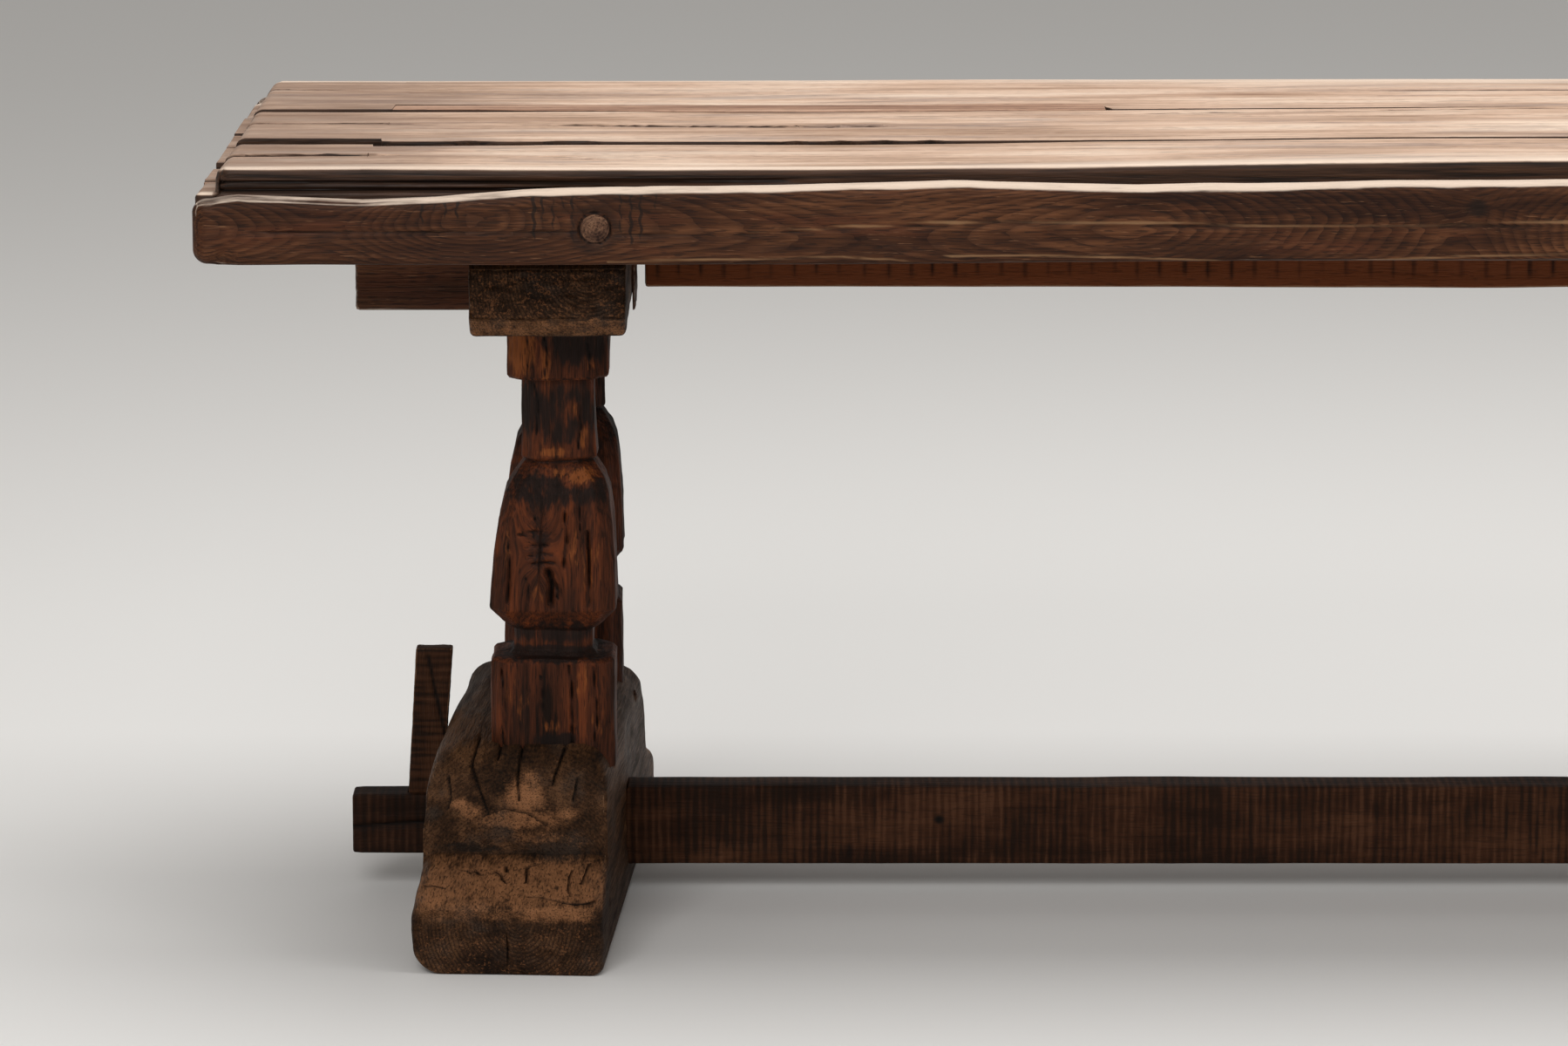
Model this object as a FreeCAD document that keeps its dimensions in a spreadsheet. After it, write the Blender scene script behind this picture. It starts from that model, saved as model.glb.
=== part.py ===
import FreeCAD, Part
import os

import Sketcher

os.makedirs("parts", exist_ok=True)
doc = FreeCAD.newDocument("refectory_table")
Vector = FreeCAD.Vector

# Driving sizes, in millimetres and degrees
SIZES = [
    ("top_length", 2500, "table top, end to end"),
    ("top_width", 780, "table top, front face to back face"),
    ("plank_thickness", 83, "planks of the top"),
    ("rail_width", 32, "edge rails, front to back"),
    ("rail_drop", 16, "edge rails below the upper face of the planks"),
    ("rail_height", 66, "edge rails, top to bottom"),
    ("rail_corner", 12, "rounded upright corners of the edge rails"),
    ("end_lip", 24, "length of the lower lip at each end of the planks"),
    ("lip_drop", 24, "lip below the upper face of the planks"),
    ("field_corner", 16, "rounded corners of the raised field"),
    ("field_round", 6, "rounded upper edge of the raised field"),
    ("front_joint", 150, "front plank joint ahead of the middle of the top"),
    ("front_gap", 6, "gap of the front joint, right through"),
    ("open_gap", 22, "worn gap of the front joint in the upper face, at its widest"),
    ("open_end", 900, "where the worn gap runs out, from the left end of the top"),
    ("jog_start", 156, "jog of the front joint, from the left end of the top"),
    ("end_joint", 139, "front joint ahead of the middle of the top, left of the jog"),
    ("end_gap", 14, "gap of the front joint left of the jog, right through"),
    ("sliver_width", 20, "sliver torn off the middle plank left of the jog, across the grain"),
    ("back_joint", 100, "back plank joint behind the middle of the top"),
    ("back_gap", 6, "open gap of the back joint"),
    ("slip_start", 160, "left end of the joint slip from the left end of the top"),
    ("slip_length", 720, "joint slip"),
    ("slip_width", 40, "joint slip, across the grain"),
    ("slip_seat", 4, "wood between the joint slip and the bores of the cross ties"),
    ("slip_clearance", 0.4, "joint slip in its rebate"),
    ("tie_diameter", 27, "round cross ties through the top"),
    ("tie_clearance", 0.2, "cross ties in their bores, all round"),
    ("tie_proud", 1.5, "cross ties beyond the faces of the edge rails"),
    ("tie_inboard", 49, "cross ties inboard of the trestle middle"),
    ("tie_rise", 36, "cross ties above the underside of the planks"),
    ("under_rail_width", 50, "rail under the top, front to back"),
    ("under_rail_height", 77, "rail under the top, top to bottom"),
    ("under_rail_gap", 8, "rail under the top short of each bolster"),
    ("dowel_diameter", 18, "dowels of the rail under the top"),
    ("dowel_bite", 45, "dowels into the middle plank"),
    ("dowel_inset", 140, "outer dowels from the ends of the rail under the top"),
    ("dowel_pitch", 420, "inner dowels from the outer ones"),
    ("trestle_inset", 329, "trestle middle from the end of the top"),
    ("bearer_width", 150, "bearer, along the table"),
    ("bearer_length", 580, "bearer, front to back"),
    ("bearer_height", 87, "bearer, top to bottom"),
    ("bevel_run", 28, "bevel under the bearer ends, front to back"),
    ("bevel_rise", 22, "bevel under the bearer ends, top to bottom"),
    ("ease_run", 26, "eased top of the bearer ends, front to back"),
    ("ease_drop", 19, "eased top of the bearer ends, top to bottom"),
    ("bolster_width", 80, "bolster, front to back"),
    ("bolster_height", 98, "bolster, top to bottom"),
    ("bolster_outer", 200, "bolster outboard of the trestle middle"),
    ("bolster_inner", 5, "bolster inboard of the bearer"),
    ("lap_clearance", 0.3, "lap of bolster and bearer"),
    ("post_spread", 145, "post middles in front of and behind the trestle middle"),
    ("plinth_width", 122, "post plinth, along the table"),
    ("plinth_depth", 100, "post plinth, front to back"),
    ("plinth_height", 81, "post plinth above the foot"),
    ("scribe_depth", 28, "plinth cut to fit down over the foot"),
    ("waist_width", 79, "post waist, along the table"),
    ("waist_depth", 72, "post waist, front to back"),
    ("waist_height", 30, "post waist"),
    ("flare_width", 92, "underside of the post belly, along the table"),
    ("flare_depth", 80, "underside of the post belly, front to back"),
    ("flare_height", 18, "flare under the post belly"),
    ("belly_width", 125, "post belly at its foot, along the table"),
    ("belly_depth", 102, "post belly at its foot, front to back"),
    ("belly_height", 100, "post belly"),
    ("belly_swell", 4, "fullness of the belly at mid height"),
    ("hip_width", 111, "post belly at its top, along the table"),
    ("hip_depth", 95, "post belly at its top, front to back"),
    ("shoulder_height", 47, "shoulder between belly and neck"),
    ("shoulder_width", 93, "shoulder at mid height, along the table"),
    ("shoulder_depth", 80, "shoulder at mid height, front to back"),
    ("neck_width", 72, "post neck, along the table"),
    ("neck_depth", 66, "post neck, front to back"),
    ("neck_height", 82, "post neck"),
    ("abacus_width", 100, "post head, along the table"),
    ("abacus_depth", 92, "post head, front to back"),
    ("abacus_height", 55, "post head"),
    ("post_shift", 6, "neck and head of the posts inboard of the plinth"),
    ("post_chamfer", 12, "chamfered corners of the posts"),
    ("tenon_width", 56, "post tenons, along the table"),
    ("tenon_depth", 36, "post tenons, front to back"),
    ("foot_tenon", 60, "post tenons into the foot"),
    ("head_tenon", 44, "post tenons into the bearer"),
    ("tenon_clearance", 0.4, "tenons in their mortises, all round"),
    ("foot_length", 700, "foot, front to back"),
    ("foot_width", 190, "foot at the floor, along the table"),
    ("foot_height", 197, "foot at its hump"),
    ("hump_length", 350, "flat top of the hump"),
    ("hump_radius", 70, "rounded ends of the hump"),
    ("step_rise", 31, "upright face between toe and hump"),
    ("toe_fall", 28, "slope of the toe"),
    ("foot_crown", 30, "rounded upper edges of the hump"),
    ("foot_wane", 30, "rounded lower outboard edge of the foot"),
    ("foot_ease", 8, "rounded lower inboard edge of the foot"),
    ("foot_draft", 2, "lean of the foot sides"),
    ("foot_skew", 3, "foot turned in plan, front end outboard"),
    ("foot_offset", 23, "foot outboard of the trestle middle"),
    ("peg_diameter", 16, "pegs of the post tenons"),
    ("peg_length", 118, "pegs of the post tenons"),
    ("peg_clearance", 0.2, "pegs in their bores, all round"),
    ("peg_proud", 1, "pegs beyond the face they are driven from"),
    ("peg_end", 0.5, "bores beyond the ends of the pegs"),
    ("foot_peg_drop", 32, "pegs below the top of the hump"),
    ("head_peg_rise", 22, "pegs above the underside of the bearer"),
    ("stretcher_width", 50, "stretcher, front to back"),
    ("stretcher_height", 81, "stretcher, top to bottom"),
    ("stretcher_rise", 30, "stretcher above the floor"),
    ("stretcher_bite", 62, "stretcher shoulder inboard of the trestle middle"),
    ("tusk_shoulder", 10, "tenon of the stretcher below its upper edge"),
    ("tusk_height", 61, "tenon of the stretcher, top to bottom"),
    ("tusk_width", 44, "tenon of the stretcher, front to back"),
    ("tusk_reach", 210, "tenon end outboard of the trestle middle"),
    ("wedge_width", 37.5, "wedge at its top, along the table"),
    ("wedge_thickness", 21, "wedge, front to back"),
    ("wedge_rise", 150, "wedge above the tenon"),
    ("wedge_short", 2, "wedge short of the underside of the tenon"),
    ("wedge_lean", 4.1, "lean of the wedge towards the foot"),
    ("wedge_taper", 0.6, "taper of the wedge"),
    ("wedge_clearance", 1.3, "wedge clear of the foot"),
    ("slot_clearance", 0.4, "wedge in its slot"),
    ("slot_depth", 14, "slot beyond the wedge, inside the foot"),
]

sheet = doc.addObject("Spreadsheet::Sheet", "Sizes")
for row, (alias, value, note) in enumerate(SIZES, start=1):
    sheet.set(f"A{row}", alias)
    sheet.set(f"B{row}", str(value))
    sheet.set(f"C{row}", note)
    sheet.setAlias(f"B{row}", alias)
doc.recompute()


def sized(text):
    """Write a formula of plain size names as an expression on the sheet."""
    for alias in sorted((entry[0] for entry in SIZES), key=len, reverse=True):
        text = text.replace(f"[{alias}]", f"Sizes.{alias}")
    return text


# Levels and places worked out from the sizes
WAIST_Z = "([foot_height] + [plinth_height])"
FLARE_Z = f"({WAIST_Z} + [waist_height])"
BELLY_Z = f"({FLARE_Z} + [flare_height])"
HIP_Z = f"({BELLY_Z} + [belly_height])"
NECK_Z = f"({HIP_Z} + [shoulder_height])"
ABACUS_Z = f"({NECK_Z} + [neck_height])"
BEARER_Z = f"({ABACUS_Z} + [abacus_height])"
PLANK_Z = f"({BEARER_Z} + [bearer_height])"
TOP_Z = f"({PLANK_Z} + [plank_thickness])"
LIP_Z = f"({TOP_Z} - [lip_drop])"
RAIL_Z = f"({TOP_Z} - [rail_drop] - [rail_height])"
HALF_LENGTH = "([top_length] / 2)"
HALF_WIDTH = "([top_width] / 2)"
FIELD_Y = f"({HALF_WIDTH} - [rail_width])"
TRESTLE_X = f"({HALF_LENGTH} - [trestle_inset])"
TUSK_TOP = "([stretcher_rise] + [stretcher_height] - [tusk_shoulder])"
TUSK_BOTTOM = f"({TUSK_TOP} - [tusk_height])"
WEDGE_TOP = f"({TUSK_TOP} + [wedge_rise])"
WEDGE_FOOT = f"({TUSK_BOTTOM} + [wedge_short])"


def bind(obj, prop, formula):
    """Bind a property to a formula of the sizes."""
    obj.setExpression(prop, sized(formula))


def value_of(formula):
    """Work a formula out with the present sizes."""
    return float(sheet.evalExpression(sized(formula)))


def make_body(name):
    """Add an empty body."""
    body = doc.addObject("PartDesign::Body", name)
    body.Label = name
    return body


def origin_plane(body, role):
    """Find one of a body's own base planes."""
    return next(item for item in body.Origin.OriginFeatures if item.Role == role)


def start_sketch(body, role, offset):
    """Add a sketch on a base plane, moved along its normal."""
    sketch = body.newObject("Sketcher::SketchObject", body.Name + "_sketch")
    sketch.AttachmentSupport = [(origin_plane(body, role), "")]
    sketch.MapMode = "FlatFace"
    bind(sketch, "AttachmentOffset.Base.z", offset)
    return sketch


def fix_point(sketch, index, end, point):
    """Hold the end of an edge at a point given by two formulas."""
    for kind, formula in zip(("DistanceX", "DistanceY"), point):
        number = sketch.addConstraint(Sketcher.Constraint(kind, index, end, value_of(formula)))
        bind(sketch, f"Constraints[{number}]", formula)


def outline(body, role, points, offset="0"):
    """Draw a closed outline of straight edges."""
    sketch = start_sketch(body, role, offset)
    places = [Vector(value_of(x), value_of(y), 0) for x, y in points]
    count = len(points)
    for index in range(count):
        sketch.addGeometry(Part.LineSegment(places[index], places[(index + 1) % count]))
    for index in range(count):
        sketch.addConstraint(Sketcher.Constraint("Coincident", index, 2, (index + 1) % count, 1))
    for index, point in enumerate(points):
        fix_point(sketch, index, 1, point)
    return sketch


def rectangle(body, role, low_x, low_y, high_x, high_y, offset="0"):
    """Draw a rectangle between two corners."""
    corners = [(low_x, low_y), (high_x, low_y), (high_x, high_y), (low_x, high_y)]
    return outline(body, role, corners, offset)


def circles(body, role, centres, diameter, offset="0"):
    """Draw circles of one diameter."""
    sketch = start_sketch(body, role, offset)
    for x, y in centres:
        middle = Vector(value_of(x), value_of(y), 0)
        number = sketch.addGeometry(Part.Circle(middle, Vector(0, 0, 1), value_of(diameter) / 2))
        fix_point(sketch, number, 3, (x, y))
        size = sketch.addConstraint(Sketcher.Constraint("Diameter", number, value_of(diameter)))
        bind(sketch, f"Constraints[{size}]", diameter)
    return sketch


def pad(body, sketch, length, symmetric=False):
    """Raise a solid from a sketch."""
    feature = body.newObject("PartDesign::Pad", body.Name + "_pad")
    feature.Profile = sketch
    if symmetric:
        feature.SideType = "Symmetric"
    bind(feature, "Length", length)
    doc.recompute()
    return feature


def pocket(body, sketch, length=None):
    """Cut a sketch out on both sides of its plane, right through or by a length."""
    feature = body.newObject("PartDesign::Pocket", body.Name + "_pocket")
    feature.Profile = sketch
    feature.SideType = "Symmetric"
    if length is None:
        feature.Type = "ThroughAll"
    else:
        bind(feature, "Length", length)
    doc.recompute()
    return feature


def loft(body, sketches, ruled):
    """Run a solid through sketches from the first to the last."""
    feature = body.newObject("PartDesign::AdditiveLoft", body.Name + "_loft")
    feature.Profile = sketches[0]
    feature.Sections = sketches[1:]
    feature.Ruled = ruled
    doc.recompute()
    return feature


def round_edges(body, feature, radius, chosen):
    """Round the edges of a feature that a test picks."""
    names = []
    for number, edge in enumerate(feature.Shape.Edges, start=1):
        if chosen(edge):
            names.append(f"Edge{number}")
    fillet = body.newObject("PartDesign::Fillet", body.Name + "_fillet")
    fillet.Base = (feature, names)
    bind(fillet, "Radius", radius)
    doc.recompute()
    return fillet


def near(first, second):
    """Tell whether two lengths agree."""
    return abs(first - second) < 0.01


def upright_at(x, y):
    """Make a test for upright edges at a place in plan."""
    def test(edge):
        box = edge.BoundBox
        same_x = near(abs(box.Center.x), abs(x)) and box.XLength < 0.01
        return same_x and near(box.Center.y, y) and box.YLength < 0.01
    return test


def box_solid(name, low, size):
    """Add a box from its low corner and its sizes."""
    solid = doc.addObject("Part::Box", name)
    for prop, formula in zip(("Length", "Width", "Height"), size):
        bind(solid, prop, formula)
    for axis, formula in zip("xyz", low):
        bind(solid, f"Placement.Base.{axis}", formula)
    return solid


def rod(name, start, axis, diameter, length):
    """Add a round rod from its start along an axis."""
    solid = doc.addObject("Part::Cylinder", name)
    turn = FreeCAD.Rotation(Vector(0, 0, 1), Vector(*axis))
    solid.Placement = FreeCAD.Placement(Vector(0, 0, 0), turn)
    bind(solid, "Radius", f"({diameter}) / 2")
    bind(solid, "Height", length)
    for letter, formula in zip("xyz", start):
        bind(solid, f"Placement.Base.{letter}", formula)
    return solid


def cut(name, base, tool):
    """Take one solid away from another."""
    solid = doc.addObject("Part::Cut", name)
    solid.Base = base
    solid.Tool = tool
    doc.recompute()
    return solid


def fuse(name, solids):
    """Join cutting solids into one."""
    solid = doc.addObject("Part::MultiFuse", name)
    solid.Shapes = solids
    doc.recompute()
    return solid


def group(name, solids):
    """Keep like solids together as one piece list entry."""
    compound = doc.addObject("Part::Compound", name)
    compound.Links = solids
    doc.recompute()
    return compound


def mirrored(name, source):
    """Repeat a piece of the left trestle on the right."""
    copy = doc.addObject("Part::Mirroring", name)
    copy.Source = source
    copy.Normal = (1, 0, 0)
    copy.Base = (0, 0, 0)
    doc.recompute()
    return copy


pieces = []


def keep(obj, label):
    """Enter a finished piece in the list under its name."""
    obj.Label = label
    pieces.append(obj)
    return obj


# Bores for the two cross ties, which run from front to back
TIE_X = f"({TRESTLE_X} - [tie_inboard])"
TIE_Z = f"({PLANK_Z} + [tie_rise])"


def bore_for_ties(body):
    """Cut the bores of both cross ties through a piece of the top."""
    centres = [(f"-{TIE_X}", TIE_Z), (TIE_X, TIE_Z)]
    return pocket(body, circles(body, "XZ_Plane", centres, "[tie_diameter] + 2 * [tie_clearance]"))


# Edge rails along the front and the back of the top
def edge_rail(name, side):
    """Build an edge rail, on the front with side -1 or the back with side 1."""
    body = make_body(name)
    if side < 0:
        low, high = f"-{HALF_WIDTH}", f"-{FIELD_Y}"
    else:
        low, high = FIELD_Y, HALF_WIDTH
    plan = rectangle(body, "XY_Plane", f"-{HALF_LENGTH}", low, HALF_LENGTH, high, RAIL_Z)
    bar = pad(body, plan, "[rail_height]")
    corner = upright_at(value_of(HALF_LENGTH), side * value_of(HALF_WIDTH))
    round_edges(body, bar, "[rail_corner]", corner)
    bore_for_ties(body)
    return keep(body, name)


edge_rail("front_rail", -1)
edge_rail("back_rail", 1)

# Planks of the top, each a full length board with a lowered lip at both ends
FIELD_X = f"({HALF_LENGTH} - [end_lip])"
JOG_X = f"({HALF_LENGTH} - [jog_start])"
OPEN_X = f"({HALF_LENGTH} - [open_end])"
SLIP_X = f"({HALF_LENGTH} - [slip_start])"
SLIP_Z = f"({TIE_Z} + [tie_diameter] / 2 + [tie_clearance] + [slip_seat])"
FRONT_NEAR = "(-[front_joint] - [front_gap] / 2)"
FRONT_FAR = "(-[front_joint] + [front_gap] / 2)"
OPEN_NEAR = "(-[front_joint] - [open_gap] / 2)"
OPEN_FAR = "(-[front_joint] + [open_gap] / 2)"
END_NEAR = "(-[end_joint] - [end_gap] / 2)"
END_FAR = "(-[end_joint] + [end_gap] / 2)"
BACK_NEAR = "([back_joint] - [back_gap] / 2)"
BACK_FAR = "([back_joint] + [back_gap] / 2)"


def plank(name, lower_points, upper_points, corner_y=None):
    """Build a plank from the outlines of its lower part and of its raised field."""
    body = make_body(name)
    pad(body, outline(body, "XY_Plane", lower_points, PLANK_Z), "[plank_thickness] - [lip_drop]")
    upper = pad(body, outline(body, "XY_Plane", upper_points, LIP_Z), "[lip_drop]")
    if corner_y is not None:
        spot = upright_at(value_of(FIELD_X), value_of(corner_y))
        upper = round_edges(body, upper, "[field_corner]", spot)
        top = value_of(TOP_Z)
        outer = abs(value_of(corner_y)) - value_of("[field_corner]")
        ends = value_of(FIELD_X)

        def rim(edge):
            """Pick the outer edges of the upper face."""
            box = edge.BoundBox
            if box.ZLength > 0.01 or not near(box.Center.z, top):
                return False
            along_end = near(abs(box.Center.x), ends) and box.XLength < 0.01
            return along_end or abs(box.Center.y) > outer

        round_edges(body, upper, "[field_round]", rim)
    bore_for_ties(body)
    return body


def front_points(end, worn):
    """Outline of the front plank, stepped at the jog and worn back along the joint above."""
    points = [(f"-{end}", f"-{FIELD_Y}"), (end, f"-{FIELD_Y}"), (end, FRONT_NEAR)]
    if worn:
        points.append((f"-{OPEN_X}", FRONT_NEAR))
        points.append((f"-{JOG_X}", OPEN_NEAR))
    else:
        points.append((f"-{JOG_X}", FRONT_NEAR))
    return points + [(f"-{JOG_X}", END_NEAR), (f"-{end}", END_NEAR)]


def middle_points(end, worn):
    """Outline of the middle plank, with a sliver torn off its upper face left of the jog."""
    jog = f"(-{JOG_X} + [front_gap])"
    points = [(end, FRONT_FAR), (end, BACK_NEAR), (f"-{end}", BACK_NEAR)]
    if worn:
        torn = f"({END_FAR} + [sliver_width])"
        points += [(f"-{end}", torn), (jog, torn), (jog, OPEN_FAR), (f"-{OPEN_X}", FRONT_FAR)]
    else:
        points += [(f"-{end}", END_FAR), (jog, END_FAR), (jog, FRONT_FAR)]
    return points


def back_points(end):
    """Outline of the back plank."""
    return [(f"-{end}", BACK_FAR), (end, BACK_FAR), (end, FIELD_Y), (f"-{end}", FIELD_Y)]


front_plank = plank("front_plank", front_points(HALF_LENGTH, False), front_points(FIELD_X, True), f"-{FIELD_Y}")
keep(front_plank, "front_plank")
middle_plank = plank("middle_plank", middle_points(HALF_LENGTH, False), middle_points(FIELD_X, True))
back_plank = plank("back_plank", back_points(HALF_LENGTH), back_points(FIELD_X), FIELD_Y)

# Rebate in the front edge of the back plank for the joint slip
rebate = rectangle(
    back_plank,
    "XY_Plane",
    f"-{SLIP_X} - [slip_clearance]",
    f"{BACK_FAR} - [back_gap]",
    f"-{SLIP_X} + [slip_length] + [slip_clearance]",
    f"{BACK_FAR} + [slip_width] + [slip_clearance]",
    TOP_Z,
)
pocket(back_plank, rebate, f"2 * ({TOP_Z} - {SLIP_Z})")
keep(back_plank, "back_plank")

joint_slip = make_body("joint_slip")
slip_plan = rectangle(
    joint_slip,
    "XY_Plane",
    f"-{SLIP_X}",
    f"{BACK_FAR} - [back_gap] / 3",
    f"-{SLIP_X} + [slip_length]",
    f"{BACK_FAR} + [slip_width]",
    SLIP_Z,
)
pad(joint_slip, slip_plan, f"{TOP_Z} - {SLIP_Z}")
keep(joint_slip, "joint_slip")

# Cross ties, one near each trestle
TIE_Y = f"({HALF_WIDTH} + [tie_proud])"
left_tie = rod("left_tie", (f"-{TIE_X}", f"-{TIE_Y}", TIE_Z), (0, 1, 0), "[tie_diameter]", f"2 * {TIE_Y}")
keep(left_tie, "left_cross_tie")
right_tie = rod("right_tie", (TIE_X, f"-{TIE_Y}", TIE_Z), (0, 1, 0), "[tie_diameter]", f"2 * {TIE_Y}")
keep(right_tie, "right_cross_tie")

# Rail under the middle plank, which stops the top between the two trestles
UNDER_X = f"({TRESTLE_X} - [bearer_width] / 2 - [bolster_inner] - [under_rail_gap])"
UNDER_Z = f"({PLANK_Z} - [under_rail_height])"
OUTER_DOWEL = f"({UNDER_X} - [dowel_inset])"
INNER_DOWEL = f"({OUTER_DOWEL} - [dowel_pitch])"
DOWEL_PLACES = [(f"-{OUTER_DOWEL}", "0"), (f"-{INNER_DOWEL}", "0"), (INNER_DOWEL, "0"), (OUTER_DOWEL, "0")]
DOWEL_BORE = "[dowel_diameter] + 2 * [peg_clearance]"
under_rail = make_body("under_rail")
under_plan = rectangle(
    under_rail,
    "XY_Plane",
    f"-{UNDER_X}",
    "-[under_rail_width] / 2",
    UNDER_X,
    "[under_rail_width] / 2",
    UNDER_Z,
)
pad(under_rail, under_plan, "[under_rail_height]")
pocket(under_rail, circles(under_rail, "XY_Plane", DOWEL_PLACES, DOWEL_BORE, PLANK_Z))
keep(under_rail, "under_rail")

bores = circles(middle_plank, "XY_Plane", DOWEL_PLACES, DOWEL_BORE, PLANK_Z)
pocket(middle_plank, bores, "2 * ([dowel_bite] + [peg_clearance])")
keep(middle_plank, "middle_plank")

dowels = []
for number, (dowel_x, dowel_y) in enumerate(DOWEL_PLACES):
    length = "[under_rail_height] + [dowel_bite]"
    dowels.append(rod(f"dowel_{number}", (dowel_x, dowel_y, UNDER_Z), (0, 0, 1), "[dowel_diameter]", length))
keep(group("under_rail_dowels", dowels), "under_rail_dowels")

# Foot of the left trestle, a side outline crossed with an end outline and turned in plan
HALF_HUMP = "([hump_length] / 2)"
STEP_Y = f"({HALF_HUMP} + [hump_radius])"
CURVE_Z = "([foot_height] - [hump_radius])"
STEP_Z = f"({CURVE_Z} - [step_rise])"
TOE_Z = f"({STEP_Z} - [toe_fall])"
HALF_FOOT = "([foot_length] / 2)"
DRAFT_RUN = "([foot_height] * tan([foot_draft] * 1 deg))"


def place_foot(body):
    """Set a foot solid on the left trestle, turned in plan."""
    bind(body, "Placement.Base.x", f"-{TRESTLE_X} - [foot_offset]")
    bind(body, "Placement.Rotation.Angle", "-[foot_skew] * 1 deg")


foot_side = make_body("foot_side")
foot_points = [
    (f"-{HALF_FOOT}", "0"),
    (HALF_FOOT, "0"),
    (HALF_FOOT, TOE_Z),
    (STEP_Y, STEP_Z),
    (STEP_Y, "[foot_height]"),
    (f"-{STEP_Y}", "[foot_height]"),
    (f"-{STEP_Y}", STEP_Z),
    (f"-{HALF_FOOT}", TOE_Z),
]
side_pad = pad(foot_side, outline(foot_side, "YZ_Plane", foot_points), "2 * [foot_width]", symmetric=True)
hump_end = value_of(STEP_Y)
hump_top = value_of("[foot_height]")


def hump_edge(edge):
    """Pick the two upper end edges of the hump."""
    middle = edge.BoundBox.Center
    return near(abs(middle.y), hump_end) and near(middle.z, hump_top)


round_edges(foot_side, side_pad, "[hump_radius]", hump_edge)
place_foot(foot_side)

foot_end = make_body("foot_end")
end_points = [
    ("-[foot_width] / 2", "0"),
    ("[foot_width] / 2", "0"),
    (f"[foot_width] / 2 - {DRAFT_RUN}", "[foot_height]"),
    (f"-[foot_width] / 2 + {DRAFT_RUN}", "[foot_height]"),
]
end_pad = pad(foot_end, outline(foot_end, "XZ_Plane", end_points), "2 * [foot_length]", symmetric=True)


def crown_edge(edge):
    """Pick the upper edges along the foot."""
    return near(edge.BoundBox.Center.z, hump_top) and near(edge.BoundBox.Center.y, 0)


crowned = round_edges(foot_end, end_pad, "[foot_crown]", crown_edge)


sole_edge = value_of("[foot_width] / 2")


def wane_edge(edge):
    """Pick the lower outboard edge along the foot."""
    middle = edge.BoundBox.Center
    return near(middle.z, 0) and near(middle.y, 0) and near(middle.x, -sole_edge)


waned = round_edges(foot_end, crowned, "[foot_wane]", wane_edge)


def ease_edge(edge):
    """Pick the lower inboard edge along the foot."""
    middle = edge.BoundBox.Center
    return near(middle.z, 0) and near(middle.y, 0) and near(middle.x, sole_edge)


round_edges(foot_end, waned, "[foot_ease]", ease_edge)
place_foot(foot_end)

foot_block = doc.addObject("Part::Common", "foot_block")
foot_block.Base = foot_side
foot_block.Tool = foot_end
doc.recompute()

# Mortises and bores of the left foot, square with the table
SPREADS = {"front": "-[post_spread]", "rear": "[post_spread]"}
FOOT_PEG_Z = "([foot_height] - [foot_peg_drop])"
HEAD_PEG_Z = f"({BEARER_Z} + [head_peg_rise])"
PEG_BORE = "[peg_diameter] + 2 * [peg_clearance]"


def foot_face(place):
    """Give the inboard face of the left foot at the height of its pegs."""
    lean = f"{FOOT_PEG_Z} * tan([foot_draft] * 1 deg)"
    drift = f"({place}) * tan([foot_skew] * 1 deg)"
    return f"(-{TRESTLE_X} - [foot_offset] + {drift} + [foot_width] / 2 - {lean})"


def peg_start(kind, place):
    """Give the inner end of a peg, on the face that it is driven from."""
    if kind == "foot":
        return f"({foot_face(place)} + [peg_proud])"
    return f"(-{TRESTLE_X} + [bearer_width] / 2 + [peg_proud])"


PEG_LEVELS = {"foot": FOOT_PEG_Z, "head": HEAD_PEG_Z}


def peg_rod(name, kind, place):
    """Add a peg through a post tenon."""
    start = (peg_start(kind, place), place, PEG_LEVELS[kind])
    return rod(name, start, (-1, 0, 0), "[peg_diameter]", "[peg_length]")


def bore_rod(name, kind, place):
    """Add the cutting rod for the bore of a peg, clear of the face at its mouth."""
    start = (f"{peg_start(kind, place)} + [peg_diameter]", place, PEG_LEVELS[kind])
    return rod(name, start, (-1, 0, 0), PEG_BORE, "[peg_diameter] + [peg_length] + [peg_end]")


def mortise(name, place, low_z, depth):
    """Add the hollow for a post tenon."""
    low = (
        f"-{TRESTLE_X} - [tenon_width] / 2 - [tenon_clearance]",
        f"{place} - [tenon_depth] / 2 - [tenon_clearance]",
        low_z,
    )
    size = ("[tenon_width] + 2 * [tenon_clearance]", "[tenon_depth] + 2 * [tenon_clearance]", depth)
    return box_solid(name, low, size)


foot_cuts = []
for spot, spread in SPREADS.items():
    low_level = "[foot_height] - [foot_tenon] - [tenon_clearance]"
    foot_cuts.append(mortise(f"{spot}_foot_mortise", spread, low_level, "2 * [foot_tenon]"))
    foot_cuts.append(bore_rod(f"{spot}_foot_bore", "foot", spread))
tusk_low = (
    f"-{TRESTLE_X} - 2 * [foot_width]",
    "-[tusk_width] / 2 - [tenon_clearance]",
    f"{TUSK_BOTTOM} - [tenon_clearance]",
)
tusk_size = ("4 * [foot_width]", "[tusk_width] + 2 * [tenon_clearance]", "[tusk_height] + 2 * [tenon_clearance]")
foot_cuts.append(box_solid("tusk_mortise", tusk_low, tusk_size))
left_foot = keep(cut("left_foot_cut", foot_block, fuse("foot_hollows", foot_cuts)), "left_foot")

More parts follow.
